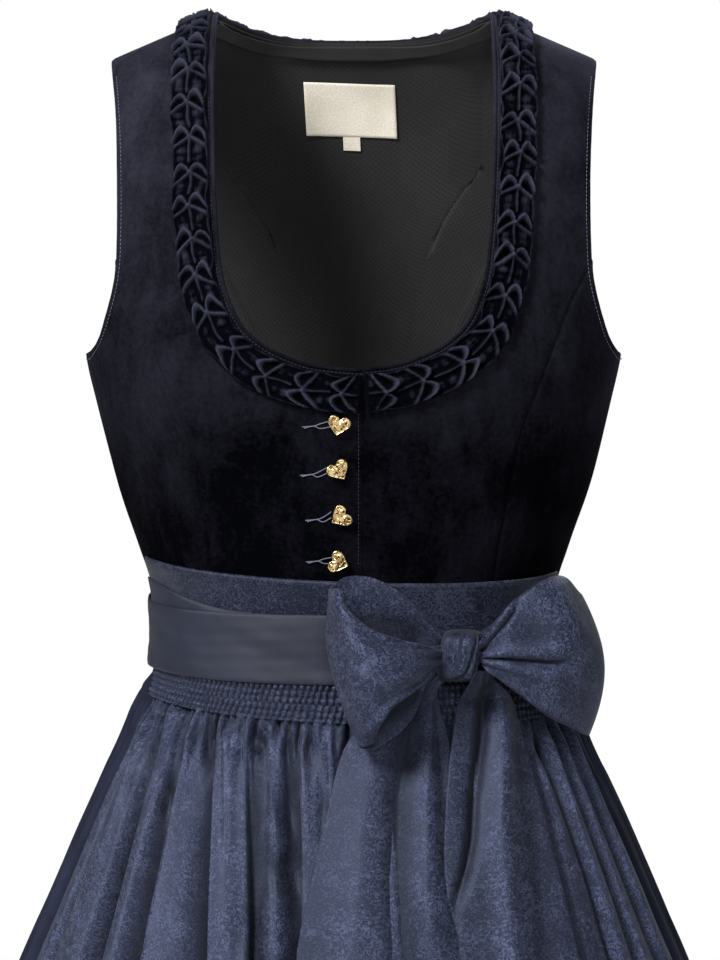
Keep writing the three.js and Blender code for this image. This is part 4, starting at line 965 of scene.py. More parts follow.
dress(facing(), "lining", "neck_facing")


def inner_tab(name, left, right, top, bottom, lift, thick, node, curl):
    """A woven tab sewn to the back's lining, a little crooked, with its sides curled."""
    z, x = np.meshgrid(np.linspace(top, bottom, 22), np.linspace(right, left, 34), indexing="ij")
    rise = curl * (bump(x, left, 7) + bump(x, right, 9)) * smooth(top, bottom, z) + 0.25 * waves(x, z, 4, 18)
    x, z = x + 0.05 * (top - z), z - 0.034 * (x - left)
    face = off_skin(math.pi - angle_at(x, z), z, lift - rise)
    return dress(cloth(name, face, thick, LABEL, roll=0.2), "label", node)


TAB_LIFT = LINING_LIFT - LINING_THICK - 2 * SEAM_GAP
inner_tab("cream_label", -33, 26.5, -40, -75, TAB_LIFT, 0.6, "label", 0.9)
inner_tab("cream_size_tag", -7.3, 3.8, -75.4, -85, TAB_LIFT + 0.1, 0.5, "size_tag", 0.3)

# ---------------------------------------------------------------- heart buttons
# name, x, height and turn in degrees
BUTTONS = [("button_1", -9, -250.4, -13), ("button_2", -9, -278, 32), ("button_3", -8, -307, -57),
           ("button_4", -9, -335.4, 70)]
BUTTON_WIDTH, BUTTON_THICK = 14.6, 3.0


def on_front(x, z, lift, turn=0.0):
    """The place and the three directions of something laid on the front at a turn in degrees."""
    z = np.array(float(z))
    phi = angle_at(np.array(float(x)), z)
    normal = skin_normal(phi, z)
    side = unit(np.cross([0.0, 0.0, 1.0], normal))
    up = np.cross(normal, side)
    c, s = math.cos(math.radians(turn)), math.sin(math.radians(turn))
    return off_skin(phi, z, lift), side * c + up * s, up * c - side * s, normal


def heart_button(name, x, z, turn, seed):
    """A domed heart with a raised rim and hammered dents."""
    place, side, up, normal = on_front(x, z, 1.9 + SEAM_GAP, turn)
    rings, count = 26, 96
    t = -np.arange(count) * 2 * math.pi / count
    wide = 0.7 * 16 * np.sin(t) ** 3 + 0.3 * 15 * np.sin(t)
    tall = 13 * np.cos(t) - 5 * np.cos(2 * t) - 2 * np.cos(3 * t) - np.cos(4 * t) + 2.5
    tall = 0.76 * tall + 0.24 * 13 * np.cos(t)
    outline = np.stack([wide, tall], -1) * BUTTON_WIDTH / 32
    rim = [(0.88, 0.0), (0.97, 0.35), (1.0, 1.0), (0.99, 1.7), (0.955, 2.2), (0.9, 2.45), (0.84, 2.35)]
    shares = [1 - (k + 1) / (rings + 1) for k in range(rings)]
    dome = [(share * 0.82, 2.0 + (BUTTON_THICK - 2.0) * (1 - share ** 2.2)) for share in shares]
    profile = rim + dome
    points = []
    for k, (scale, height) in enumerate(profile):
        flat = outline * scale
        heights = np.full(count, height)
        if k >= len(rim):
            heights = heights - 0.55 * smooth(0.1, 0.7, waves(*flat.T, seed, 1.9)) * smooth(6, 9, k)
        points.append(place + flat[:, :1] * side + flat[:, 1:] * up + heights[:, None] * normal)
    points = np.concatenate(points + [[place], [place + normal * (BUTTON_THICK - 0.15)]])
    faces = []
    for k in range(len(profile) - 1):
        for i in range(count):
            a, b = k * count + i, k * count + (i + 1) % count
            faces.append((a, b, b + count, a + count))
    last = (len(profile) - 1) * count
    for i in range(count):
        faces += [(len(points) - 2, (i + 1) % count, i), (len(points) - 1, last + i, last + (i + 1) % count)]
    piece = make_mesh(f"gold_heart_{name[-1]}", points, faces, None, None, [GOLD])
    outward(piece)
    return dress(piece, "button_metal", name)


def thread_shank(name, x, z):
    """The wound thread that holds a button off the cloth."""
    place, _, up, normal = on_front(x, z, 0)
    path = [place + normal * height for height in (-0.4, 0.6, 1.4, 2.3)]
    shank = tube(f"button_shank_{name[-1]}", path, (2.2, 1.9, 1.8, 2.0), DARK_THREAD, 12, up)
    return dress(shank, "button_metal")


FIRST_DENTS = 20
for number, (name, x, z, turn) in enumerate(BUTTONS):
    heart_button(name, x, z, turn, FIRST_DENTS + number)
    thread_shank(name, x, z)

# ---------------------------------------------------------------- waistband, ties, smocking
BAND_LIFT = 2 * SEAM_GAP
OVER_BAND = BAND_LIFT + BAND_THICK + SEAM_GAP
KNOT_ANGLE, KNOT_REACH = 24.0, 11
EDGE_REACH = 0.04


def band_top(phi):
    """The height of the waistband's upper edge."""
    return -340 - 9 * ((1 + np.cos(phi)) / 2) ** 2 - 5 * np.sin(phi)


def tie_lift(phi):
    """How far off the body the ties lie: over the waistband in front, on the velvet behind."""
    off_front = np.abs(np.arctan2(np.sin(phi), np.cos(phi)))
    return lerp(OVER_BAND, BAND_LIFT, smooth(math.radians(73), math.radians(88), off_front))


def tie_top(phi):
    """The height of the ties' upper edge."""
    return TIE_TOP_Z + 2 - 2 * np.cos(phi)


def tie_low(phi):
    """The height of the ties' lower edge."""
    return tie_top(phi) - TIE_DEPTH + 1.5 * np.sin(phi) ** 2


def into_knot(phi):
    """How far a tie is gathered together on its way under the knot."""
    return bump(np.degrees(phi), KNOT_ANGLE + 6, KNOT_REACH)


def strap_face(start, end, columns, rows, top, low, lift):
    """A strip round the body between two angles in degrees; lift also reads the share down it."""
    phi = np.radians(np.linspace(start, end, columns))[None, :]
    share = np.linspace(0, 1, rows)[:, None]
    z = lerp(top(phi), low(phi), share)
    phi = phi + 0 * z
    return off_skin(phi, z, lift(phi, share + 0 * z))


def cloth_edges(share, depth):
    """How far a strip's two long edges bend inwards."""
    return -depth * (np.exp(-share / EDGE_REACH) + np.exp(-(1 - share) / EDGE_REACH))


def tie_creases(phi, share, seed, size):
    """Soft creases that run along a tie and slant a little."""
    way, down = phi * WAIST_RADIUS, share * TIE_DEPTH
    return size * (waves(way * 0.16, down + way * 0.05, seed, 13) + 0.5 * waves(way * 0.35, down, seed + 1, 6))


def waistband():
    def lift(phi, share):
        ripple = 0.25 * waves(phi * WAIST_RADIUS, share * WAISTBAND_DEPTH, 31, 24)
        return BAND_LIFT + BAND_THICK + cloth_edges(share, 0.6) + ripple

    face = strap_face(-APRON_HALF_ANGLE - 2, APRON_HALF_ANGLE + 2, 180, 26, band_top,
                      lambda phi: band_top(phi) - WAISTBAND_DEPTH, lift)
    # painted shade: the waistband's damask is painted darker all over
    band = cloth("damask_waistband", face, BAND_THICK, DAMASK, SATIN, painted_light=np.full(face.shape[:2], 0.2))
    return dress(band, "jacquard", "apron_waistband")


def tie_outer():
    """The tie that lies uppermost, all the way round from the knot."""
    def lift(phi, share):
        level = tie_lift(phi) + 2 * TIE_THICK + SEAM_GAP
        return level + cloth_edges(share, 0.5) + tie_creases(phi, share, 41, 0.42)

    return strap_face(KNOT_ANGLE - 308, KNOT_ANGLE + 5, 420, 30,
                      lambda phi: tie_top(phi) - 15 * into_knot(phi),
                      lambda phi: tie_low(phi) + 11 * into_knot(phi), lift)


def tie_inner():
    """The other tie, from the knot round the wearer's left side and under the first."""
    return strap_face(KNOT_ANGLE + 5.5, 286, 260, 14,
                      lambda phi: tie_top(phi) - 1 - 14 * into_knot(phi),
                      lambda phi: tie_low(phi) + 1 + 10 * into_knot(phi),
                      lambda phi, share: tie_lift(phi) + TIE_THICK + cloth_edges(share, 0.3))


def tie_fold():
    """The layer of the folded tie that shows above the first, on the wearer's right."""
    def lift(phi, share):
        return tie_lift(phi) + TIE_THICK + cloth_edges(share, 0.4) + tie_creases(phi, share, 43, 0.25)

    return strap_face(-73, -27, 90, 20,
                      lambda phi: tie_top(phi) + lerp(0.5, 17, smooth(27, 80, -np.degrees(phi))),
                      lambda phi: tie_low(phi) + 4, lift)


waistband()
for face, node in ((tie_outer(), "tie_outer"), (tie_inner(), "tie_inner"), (tie_fold(), "tie_fold")):
    dress(cloth(f"satin_{node}", face, TIE_THICK, SATIN), "tie_satin", node)

# ---------------------------------------------------------------- smocking
SMOCK_CELLS, CELL_STEPS = 82, 7
SMOCK_LINES, SMOCK_MARGIN = 6, 1.4
CELL_WIDTH, PUFF_HEIGHT = 3.8, 3.1
SMOCK_TUCK = 9


def smock_edges(phi):
    """The heights between which the smocking lies, the upper one tucked under the ties."""
    return tie_low(phi) + SMOCK_TUCK, band_top(phi) - SMOCK_BOTTOM


def smocking():
    """Gathered tubes held by stitched lines, with a row of small puffs between each two lines, and the painted
    light of each point: painted shade in the pinches, painted highlight on the puffs.
    """
    columns, rows = SMOCK_CELLS * CELL_STEPS + 1, 46
    phi = np.radians(np.linspace(-APRON_HALF_ANGLE, APRON_HALF_ANGLE, columns))[None, :]
    share = np.linspace(0, 1, rows)[:, None]
    z = lerp(*smock_edges(phi), share)
    phi = phi + 0 * z
    cell = np.linspace(0, SMOCK_CELLS, columns)[None, :]
    drift = 0.16 * waves(cell * CELL_WIDTH, share * 40, 51, 12)
    line = share * (SMOCK_LINES + SMOCK_MARGIN)
    row_number = np.floor(line)
    across = cell + drift + 0.25 * np.sin(row_number * 2.1)
    tubes = np.abs(np.cos(math.pi * across)) ** 0.7
    pinch = np.abs(np.sin(math.pi * line)) ** 0.55
    size = 1 + 0.25 * waves(cell * CELL_WIDTH, row_number * 9, 52, 7)
    puff = PUFF_HEIGHT * tubes * (0.2 + 0.8 * pinch) * size
    lift = SEAM_GAP + 0.9 + puff * smooth(0, 0.08, share) + 0.1
    # the second value is painted light: painted shade in the pinches between the puffs, painted highlight on
    # the puffs
    return off_skin(phi, z, lift), 1.2 * (puff / PUFF_HEIGHT) ** 1.3 - 0.06


smock_face, smock_painted_light = smocking()
smock = cloth("damask_smocking", smock_face, 0.8, DAMASK, SATIN, painted_light=smock_painted_light)
dress(smock, "jacquard", "apron_smocking")

# ---------------------------------------------------------------- skirt and apron
# height, share of the waistband's slope, way in from the body's curve, and height of the folds
SKIRT_ROWS = np.array([(WAIST_Z - SEAM_GAP, 0, 2, 0.2), (-410, 0, 1.8, 0.4), (-430, 1, 1, 1.5),
                       (-480, 0.6, 0, 7.5), (-545, 0.2, 0, 11.5), (-640, 0, 0, 14.5), (-780, 0, 0, 17),
                       (APRON_HEM_Z, 0, 0, 19), (HEM_Z, 0, 0, 19)])
# Creases between the folds of the front: the angle at the waist and the one lower down, which of
# its two folds lies on top (1: the one nearer the wearer's left), and how sharply it turns there.
FRONT_CREASES = [
    (-90, -90, 0, 0.3), (-84, -84, 1, 0.6), (-77.5, -77, 1, 0.6), (-70.5, -70.5, 1, 0.7), (-65, -60.5, 1, 1.0),
    (-57, -49, 0, 0.2), (-44, -38.5, 1, 0.9), (-36, -23, 1, 1.0), (-25, -16.5, -1, 0.9), (-13.5, -8.3, 1, 0.9),
    (-2, 0, 0, 0.5), (10, 10, -1, 0.6), (20, 19.5, -1, 0.5), (31, 29.5, 0, 0.5), (42, 39, -1, 0.7),
    (50, 47, -1, 1.0), (57, 54.5, -1, 0.7), (63, 61, -1, 0.8), (69, 69, -1, 0.8), (80, 81, -1, 0.6),
    (90, 90, 0, 0.3)]
# Dents the gathers leave between the folds: x, height, half width, half height and depth. They are also
# painted darker, a painted shade.
HOLLOWS = [(-126, -430, 5, 8, 5), (-105, -428, 5, 7, 5), (-89, -450, 4.5, 15, 7), (-76, -437, 4, 8, 5),
           (-58, -448, 4, 9, 5), (-46, -438, 4, 8, 4), (-28.5, -451, 4.5, 11, 6), (-116, -481, 3.5, 13, 5),
           (-43, -487, 7, 15, 3.5), (-42, -521, 9, 13, 4), (-18, -485, 3, 18, 4), (-66, -560, 8, 18, 3),
           (99, -445, 5, 9, 4), (112, -452, 4, 12, 5)]
APRON_FOLDS = (3, 18)
APRON_FIRST_RANK, APRON_LAST_RANK, HEM_RANK = 1.85, 7, 8
FRONT_FOLDS = len(FRONT_CREASES) - 1
# the creases swing from their angle at the waist to the lower one: the height where they start to,
# how far below it they are there, and over what way most of the swing happens
LEAN_TOP, LEAN_DEPTH, LEAN_REACH = -445, 155, 110
# the width of one gathered tube, and about how high the waistband's top is at the two sides
GATHER, BAND_SIDE_Z = 6.6, -342


def all_creases():
    """The creases all round, those of the back at uneven steps, and how deep each fold is."""
    widths = 1 + 0.28 * uneven(np.arange(FOLDS_BACK), 1)
    back = 90 + 180 * np.cumsum(widths) / widths.sum()
    rows = list(FRONT_CREASES)
    for i, angle in enumerate(back[:-1]):
        rows.append((angle, angle, 1 if uneven(i, 4) > 0 else -1, 0.65))
    rows.append((back[-1], back[-1], 0, 0.3))
    deep = [1 + 0.35 * uneven(np.arange(count), k) for count, k in ((FRONT_FOLDS, 2), (FOLDS_BACK, 3))]
    deep = np.concatenate(deep)
    return np.array(rows, float), np.append(deep, deep[0])


CREASES, DEPTHS = all_creases()
TOP, LOW, ON_TOP, SHARP = range(4)


def rise(share, sharpness):
    """From a crease up on to the fold: steep where the fold lies on top of its neighbour."""
    return smooth(0, 1, share / lerp(0.5, 0.1, sharpness))


def on_top(k, way):
    """How sharp a crease is, if the fold on top is the one nearer the wearer's left (way 1) or the
    wearer's right (way -1), and 0 if it isn't."""
    return np.where(CREASES[k, ON_TOP] * way > 0, CREASES[k, SHARP], 0)


def gathers(waist_way, z, fall):
    """Small tubes right under the smocking or the seam, and longer ones that run out below them."""
    swing = 0.8 * waves(waist_way, z * 0.3, 61, 30)
    tubes = np.abs(np.cos(math.pi * waist_way / GATHER + swing)) ** 0.8 - 0.55
    long_tubes = np.sin(waist_way * 0.42 + 1.4 * waves(waist_way, z * 0.2, 62, 60))
    puffs = 1 + 0.5 * waves(waist_way, z * 0.3, 65, 15)
    short = 6.5 * puffs * (tubes + 0.15) * smooth(-9, 5, fall) * np.exp(-np.clip(fall - 7, 0, None) / 21)
    return short + 2.6 * long_tubes * smooth(-2, 18, fall) * np.exp(-np.clip(fall - 18, 0, None) / 60)


def skirt_grid(first, last, columns, first_rank, last_rank, rows, lift=0.0, covered=False):
    """Points of the skirt between two creases, and the painted light of each: painted shade in the valleys
    and dents, painted highlight on the tops of the folds; rank runs from 0 at the waist
    seam to 8 at the hem. Under the apron the skirt keeps back from it."""
    place = np.linspace(first, last, (last - first) * columns + 1)[None, :]
    rank = np.linspace(first_rank, last_rank, rows)[:, None]
    k = np.clip(np.floor(place).astype(int), 0, len(CREASES) - 2)
    share = place - k
    share = share - 0.72 * np.sin(2 * math.pi * share) / (2 * math.pi)
    z, tilt, inset, fold = (np.interp(rank, np.arange(len(SKIRT_ROWS)), SKIRT_ROWS[:, c]) for c in range(4))
    lean = 1 - np.exp(-np.clip(LEAN_TOP - z, 0, None) / LEAN_REACH)
    lean = lean / (1 - math.exp(-LEAN_DEPTH / LEAN_REACH))
    start = lerp(CREASES[k, TOP], CREASES[k, LOW], lean)
    end = lerp(CREASES[k + 1, TOP], CREASES[k + 1, LOW], lean)
    angle = lerp(start, end, share)
    phi = np.radians(angle)
    z = z + tilt * (band_top(phi) - BAND_SIDE_Z)
    fall = band_top(phi) - SMOCK_BOTTOM - z
    even_left, even_right = (np.where(CREASES[i, ON_TOP] == 0, 0.45, 0.0) for i in (k, k + 1))
    up_left, up_right = rise(share, on_top(k, 1) + even_left), rise(1 - share, on_top(k + 1, -1) + even_right)
    valley = -0.55 * lerp(DEPTHS[k], DEPTHS[k + 1], share)
    peak = 0.5 * DEPTHS[k] + 0.12 * np.sin(math.pi * share)
    height = (valley + (peak - valley) * up_left * up_right) * fold
    waist_way = np.radians(lerp(CREASES[k, TOP], CREASES[k + 1, TOP], share)) * SKIRT_TOP_RADIUS
    way = phi * SKIRT_RADIUS
    soft = 2.3 * waves(way, z * 0.55, 63, 62) + 0.7 * waves(way * 1.1, z * 0.6, 64, 22)
    fine = gathers(waist_way, z, fall) + smooth(15, 150, fall) * soft
    over = 4.5 * smooth(12, 130, fall)
    x, y = oval(phi, z)
    dents = sum(depth * bump(x, at_x, wide) * bump(z, at_z, tall) for at_x, at_z, wide, tall, depth in HOLLOWS)
    dents = dents * (np.cos(phi) > 0)
    # painted highlight along the edge of the fold that lies on top, and painted shadow on the fold tucked
    # under it beside the crease
    painted_edge_highlight = on_top(k, 1) * bump(share, 0.075, 0.05) + on_top(k + 1, -1) * bump(share, 0.925, 0.05)
    painted_edge_shadow = on_top(k, -1) * bump(share, 0.06, 0.17) + on_top(k + 1, 1) * bump(share, 0.94, 0.17)
    # painted light: painted shade in the valleys and dents, painted highlight on the tops of the folds
    painted_light = 0.4 + 0.62 * height / np.maximum(fold, 2) + 0.075 * fine - 0.12 * dents
    painted_light = painted_light + smooth(15, 90, fall) * (0.3 * painted_edge_highlight - 0.6 * painted_edge_shadow)
    fine = fine - dents
    if covered:
        apron_start, apron_end = (CREASES[i, LOW] for i in APRON_FOLDS)
        under = smooth(apron_start, apron_start + 7, angle) * smooth(apron_end, apron_end - 7, angle)
        under = under * smooth(APRON_HEM_Z - 19, APRON_HEM_Z + 3, z) * smooth(-4, 0, fall)
        height = lerp(height + fine, height * 0.7 - 3 - 6 * smooth(0, 80, fall) - dents, under)
        over = over * (1 - under)
    else:
        height = height + fine
    ahead, behind = oval(phi + SMALL_ANGLE, z), oval(phi - SMALL_ANGLE, z)
    out = unit(np.stack([ahead[1] - behind[1], behind[0] - ahead[0], 0 * x], -1))
    side = np.stack([-out[..., 1], out[..., 0], 0 * x], -1)
    # the fold on top swings over its crease, and the other one slips under it
    left_lap = on_top(k, 1) * lerp(0.6, -1, up_left) - 0.6 * on_top(k, -1)
    right_lap = on_top(k + 1, -1) * lerp(-0.6, 1, up_right) + 0.6 * on_top(k + 1, 1)
    lap = left_lap * bump(share, 0, 0.16) + right_lap * bump(share, 1, 0.16)
    points = np.stack([x, y, z + 0 * x], -1) + out * (height - inset + lift)[..., None]
    return points + side * (over * lap)[..., None], painted_light


def skirt_front():
    face, painted_light = skirt_grid(0, FRONT_FOLDS, 20, 0, HEM_RANK, 120, covered=True)
    piece = cloth("skirt_front_cloth", face, SKIRT_THICK, SKIRT_CLOTH, painted_light=painted_light)
    return dress(piece, "skirt_cloth", "skirt_front")


def skirt_back():
    face, painted_light = skirt_grid(FRONT_FOLDS, FRONT_FOLDS + FOLDS_BACK, 18, 0, HEM_RANK, 120)
    piece = cloth("skirt_back_cloth", face, SKIRT_THICK, SKIRT_CLOTH, painted_light=painted_light)
    return dress(piece, "skirt_cloth", "skirt_back")


def apron():
    lift = 2 * SEAM_GAP + APRON_THICK + 0.4
    face, painted_light = skirt_grid(*APRON_FOLDS, 24, APRON_FIRST_RANK, APRON_LAST_RANK, 130, lift)
    piece = cloth("apron_damask", face, APRON_THICK, DAMASK, painted_light=painted_light)
    return dress(piece, "jacquard", "apron_skirt")


skirt_front()
skirt_back()
apron()

# ---------------------------------------------------------------- bow
# x, y and height of the ribbon's upper edge and of its lower one, and how far its middle stands out
# and swells sideways
LOOP_RIGHT = [
    (53, -102, -380, 53, -102, -400, 0, 0), (43, -107, -368, 44, -108, -413, -1, 0),
    (30, -110, -355, 36, -113, -430, -2, 0), (13, -112, -345, 26, -117, -440, -2, -1),
    (-4, -114, -343.5, 13, -120, -448, -1, -4), (-15, -121, -350, 4, -127, -445.5, 2, -7),
    (-9, -133, -349, 11, -136, -443, 8, -6), (-3, -138.5, -359, 17, -140, -433, 11, -3),
    (8, -138.5, -370, 22, -140, -421.5, 10, 0), (27, -135, -378, 34, -136, -411.5, 7, 0),
    (41, -128, -382.5, 45, -129, -402.5, 4, 0), (53.3, -117, -386, 53.3, -117, -398, 0, 0)]
LOOP_LEFT = [
    (77.6, -116, -380, 77.6, -116, -397, 0, 0), (90, -122, -363, 88, -122, -406, 4, 0),
    (103, -121, -352, 103, -122, -417, 6, 0), (116, -116, -345, 119, -119, -429, 7, 2),
    (128, -106, -343, 134, -110, -437, 7, 6), (138, -93, -355, 144, -97, -443, 4, 10),
    (139, -81, -359, 144, -85, -442, -3, 10), (128, -80, -356, 134, -84, -438, -3, 5),
    (110, -88, -360, 116, -93, -428, -2, 0), (93, -95, -370, 95, -99, -412, 0, 0),
    (77.8, -101, -381, 77.8, -101, -399, 0, 0)]
# height, left and right edge, and how far off the skirt's mean face
TAIL_RIGHT = [
    (-404, 48, 54, 23), (-411, 43, 50, 18), (-418, 37, 48.5, 13.5), (-427, 25, 51, 10), (-448, -3, 57, 9),
    (-491, -16, 64, 9.5), (-530, -25, 68, 10), (-570, -33, 76, 11), (-650, -40, 83, 13), (-730, -44, 86, 14.5),
    (-805, -46, 88, 16)]
TAIL_LEFT = [
    (-404, 66, 76, 24), (-411, 65.5, 79, 19), (-418, 63.5, 84, 15), (-427, 60.5, 92, 12.5),
    (-448, 58, 99, 12),
    (-491, 54, 110, 13), (-530, 54, 119, 13.5), (-570, 62, 128, 14.5), (-650, 69, 143, 16),
    (-720, 73, 154, 17.5), (-785, 77, 162, 19)]
# rows and columns of a loop and of a hanging end
LOOP_SIZE, TAIL_SIZE = (150, 60), (170, 60)
# creases and ridges down the tails: height and x of their line, width, and how far they rise
TAIL_LEFT_LINES = [
    ([(-415, 77), (-445, 76.5), (-463, 74), (-481, 71.5), (-505, 70), (-522, 66.5), (-545, 59)], 4.0, -6.5),
    ([(-404, 76), (-420, 83), (-439, 86.5), (-463, 87), (-500, 86), (-560, 90), (-640, 99)], 6.5, 4.5),
    ([(-440, 97), (-500, 104), (-580, 112), (-700, 130)], 8.0, -2.6)]
TAIL_RIGHT_LINES = [
    ([(-440, 33), (-480, 27), (-530, 26), (-600, 31), (-700, 36)], 8.5, -4.2),
    ([(-440, 46), (-480, 43), (-540, 43), (-620, 50), (-700, 54)], 6.0, 2.6),
    ([(-470, 6), (-540, 0), (-640, -6)], 12.0, 2.4)]


def through(rows, count):
    """A smooth line through the rows of a table, one point more often where they lie apart."""
    rows = np.array(rows, float)
    ends = np.concatenate([2 * rows[:1] - rows[1:2], rows, 2 * rows[-1:] - rows[-2:-1]])
    t = np.linspace(0, len(rows) - 1, count)
    i = np.minimum(t.astype(int), len(rows) - 2)
    t = (t - i)[:, None]
    a, b, c, d = (ends[i + k] for k in range(4))
    start, end = (c - a) / 2, (d - b) / 2
    return (2 * b - 2 * c + start + end) * t ** 3 + (-3 * b + 3 * c - 2 * start - end) * t ** 2 + start * t + b


def ribbon(name, face, painted_light, node):
    """A doubled ribbon whose middle surface is the given face."""
    outer = face + face_normals(face) * TIE_THICK / 2
    return dress(cloth(name, outer, TIE_THICK, DAMASK, painted_light=painted_light), "jacquard", node)


def loop_face(table, creases):
    """A loop's middle surface from its table, with its creases, and the painted light of each point, which
    follows the creases' relief and adds their painted shadow.
    """
    rows, columns = LOOP_SIZE
    line = through(table, rows)[:, None]
    t = np.linspace(0, 1, columns)[None, :]
    face = lerp(line[..., 0:3], line[..., 3:6], t[..., None])
    face[..., 1] -= line[..., 6] * 4 * t * (1 - t)
    face[..., 0] += line[..., 7] * 4 * t * (1 - t)
    share = np.linspace(0, 1, rows)[:, None]
    depth, outline_and_painted_shadow = creases(share, t)
    # painted light that follows the creases' relief, less their painted shadow
    return face + face_normals(face) * depth[..., None], 0.55 - 0.07 * depth - outline_and_painted_shadow


def fan_of(share, t):
    """Pleats that fan out of the knot at both ends of a loop, and soft dents between."""
    near_knot = np.exp(-share / 0.12) + np.exp(-(1 - share) / 0.12)
    return (np.sin(t * 15 + 1.2 * np.sin(share * 9)) * 1.5 * near_knot
            + 1.1 * waves(share * 150, t * 60, 71, 26) * (1 - near_knot))


def creases_right(share, t):
    """Its near layer stands out in the middle and rolls back at both rims; the far layer falls back. Its
    second value is painted light: painted shadow inside the far layer, deepest in its hollows, and towards the
    end at the knot, and painted highlight along the near layer's rims.
    """
    near = smooth(0.48, 0.6, share) * smooth(1.0, 0.86, share)
    far = smooth(0.02, 0.14, share) * smooth(0.5, 0.36, share)
    rims = bump(t, 0.09, 0.06) + bump(t, 0.92, 0.055)
    turned = np.exp(-t / 0.035) + np.exp(-(1 - t) / 0.03)
    middle = 3.5 * np.sin(math.pi * t) * smooth(0.5, 0.7, share) * smooth(1.0, 0.8, share)
    dent = 3.2 * bump(t, lerp(0.3, 0.5, share), 0.09) * bump(share, 0.62, 0.1)
    hollow = far * (5.5 * bump(t, 0.3, 0.16) + 3 * bump(t, 0.85, 0.12))
    inside = smooth(0.5, 0.44, share)
    # painted shadow inside the far layer and its hollows, painted highlight along the near rims, and painted
    # shadow towards the knot
    outline_and_painted_shadow = inside * (0.5 * smooth(0.12, 0.34, t) - 0.14) * smooth(1.0, 0.88, t)
    outline_and_painted_shadow = outline_and_painted_shadow + 0.15 * hollow * smooth(0.08, 0.28, t)
    outline_and_painted_shadow = outline_and_painted_shadow - near * 0.42 * (bump(t, 0.03, 0.035) + bump(t, 0.97, 0.03))
    outline_and_painted_shadow = outline_and_painted_shadow + 0.1 * smooth(0.6, 0.85, share)
    return fan_of(share, t) - near * (3.4 * rims - 5.5 * turned) - middle + dent - hollow, outline_and_painted_shadow


def creases_left(share, t):
    """A long crease runs out from the knot, and a small tuck lies along the upper rim beside it. Its second
    value is painted shadow: along the long crease, on a patch beside the tuck, and over the loop's farther
    half.
    """
    near = smooth(0.44, 0.36, share)
    line = lerp(0.72, 0.55, share / 0.38)
    long_crease = 5.0 * bump(t, line, 0.028)
    long_crease = long_crease - 2.2 * bump(t, line - 0.09, 0.055) - 1.6 * bump(t, line + 0.09, 0.05)
    out = share / 0.16
    tuck = 4.0 * bump(t, lerp(0.42, 0.12, out), 0.04) - 3.0 * bump(t, lerp(0.3, 0.02, out), 0.07)
    shade = 2.6 * bump(t, 0.36, 0.12) * bump(share, 0.24, 0.07)
    swell = 4.0 * np.sin(math.pi * t) * bump(share, 0.36, 0.09)
    turned = np.exp(-t / 0.03) + np.exp(-(1 - t) / 0.03)
    rims = 3.0 * turned * smooth(0.03, 0.1, share)
    depth = fan_of(share, t) + near * (long_crease * smooth(0.4, 0.3, share) + rims)
    depth = depth + tuck * smooth(0.19, 0.12, share) + shade - swell
    # painted shadow along the long crease, over the loop's farther half and on a patch beside the tuck
    outline_and_painted_shadow = 0.3 * bump(t, line, 0.016) * near * smooth(0.36, 0.28, share) + 0.3 * smooth(0.5, 0.58, share)
    return depth, outline_and_painted_shadow + 0.15 * bump(t, 0.36, 0.1) * bump(share, 0.24, 0.08)


ribbon("bow_loop_damask_right", *loop_face(LOOP_RIGHT, creases_right), "bow_loop_right")
ribbon("bow_loop_damask_left", *loop_face(LOOP_LEFT, creases_left), "bow_loop_left")


def tail_face(table, lines, slant, seed, under):
    """A hanging end of the bow with a slanted cut; under is how far it sinks along one side, where
    the other end lies over it. It is painted lighter on its ridges and darker in its creases, with a
    painted shadow at its top under the knot."""
    rows, columns = TAIL_SIZE
    line = through(table, rows)
    t = np.linspace(0, 1, columns)[None, :]
    share = np.linspace(0, 1, rows)[:, None]
    z = line[:, :1] - slant * t * smooth(0.75, 1, share)
    x = lerp(line[:, 1:2], line[:, 2:3], t)
    open_out = smooth(0, 0.3, share)
    pleats = 1.3 * np.sin(t * 17 + seed) * (1 - open_out) * smooth(0, 0.06, share)
    soft = 1.3 * waves(x, z * 0.35, seed + 80, 34) * open_out * smooth(0, 0.2, t) * smooth(1, 0.8, t)
    relief = pleats + soft
    for path, width, depth in lines:
        heights, places = np.array(path[::-1], float).T
        middle = np.interp(z, heights, places)
        relief = relief + depth * bump(x, middle, width) * smooth(heights[0] - 30, heights[0] + 40, z)
    lift = line[:, 3:4] + relief - under * smooth(0.78, 0.9, t) * smooth(0.1, 0.25, share)
    # painted light: lighter on the ridges, darker in the creases, and a painted shadow at the top under the
    # knot
    return off_skin(angle_at(x, z), z, lift), 0.44 + 0.11 * relief - 0.25 * smooth(-440, -418, z)


ribbon("bow_tail_damask_right", *tail_face(TAIL_RIGHT, TAIL_RIGHT_LINES, -28, 1, 3.0), "bow_tail_right")
ribbon("bow_tail_damask_left", *tail_face(TAIL_LEFT, TAIL_LEFT_LINES, 28, 2, 0.0), "bow_tail_left")


KNOT_LOW, KNOT_HIGH = np.array([50.5, -124, -407.5]), np.array([78.5, -91.2, -377])
# folds down the knot: where across it they start, their width and their depth
KNOT_FOLDS = [(lambda level: 0.62 - 0.75 * level ** 2, 0.075, 0.13),
              (lambda level: 0.93 - 0.3 * level, 0.06, 0.1),
              (lambda level: -0.35 - 0.25 * level, 0.16, 0.05)]


def power(value, n):
    """A power that keeps the sign, which squares off a round shape."""
    return np.sign(value) * np.abs(value) ** n


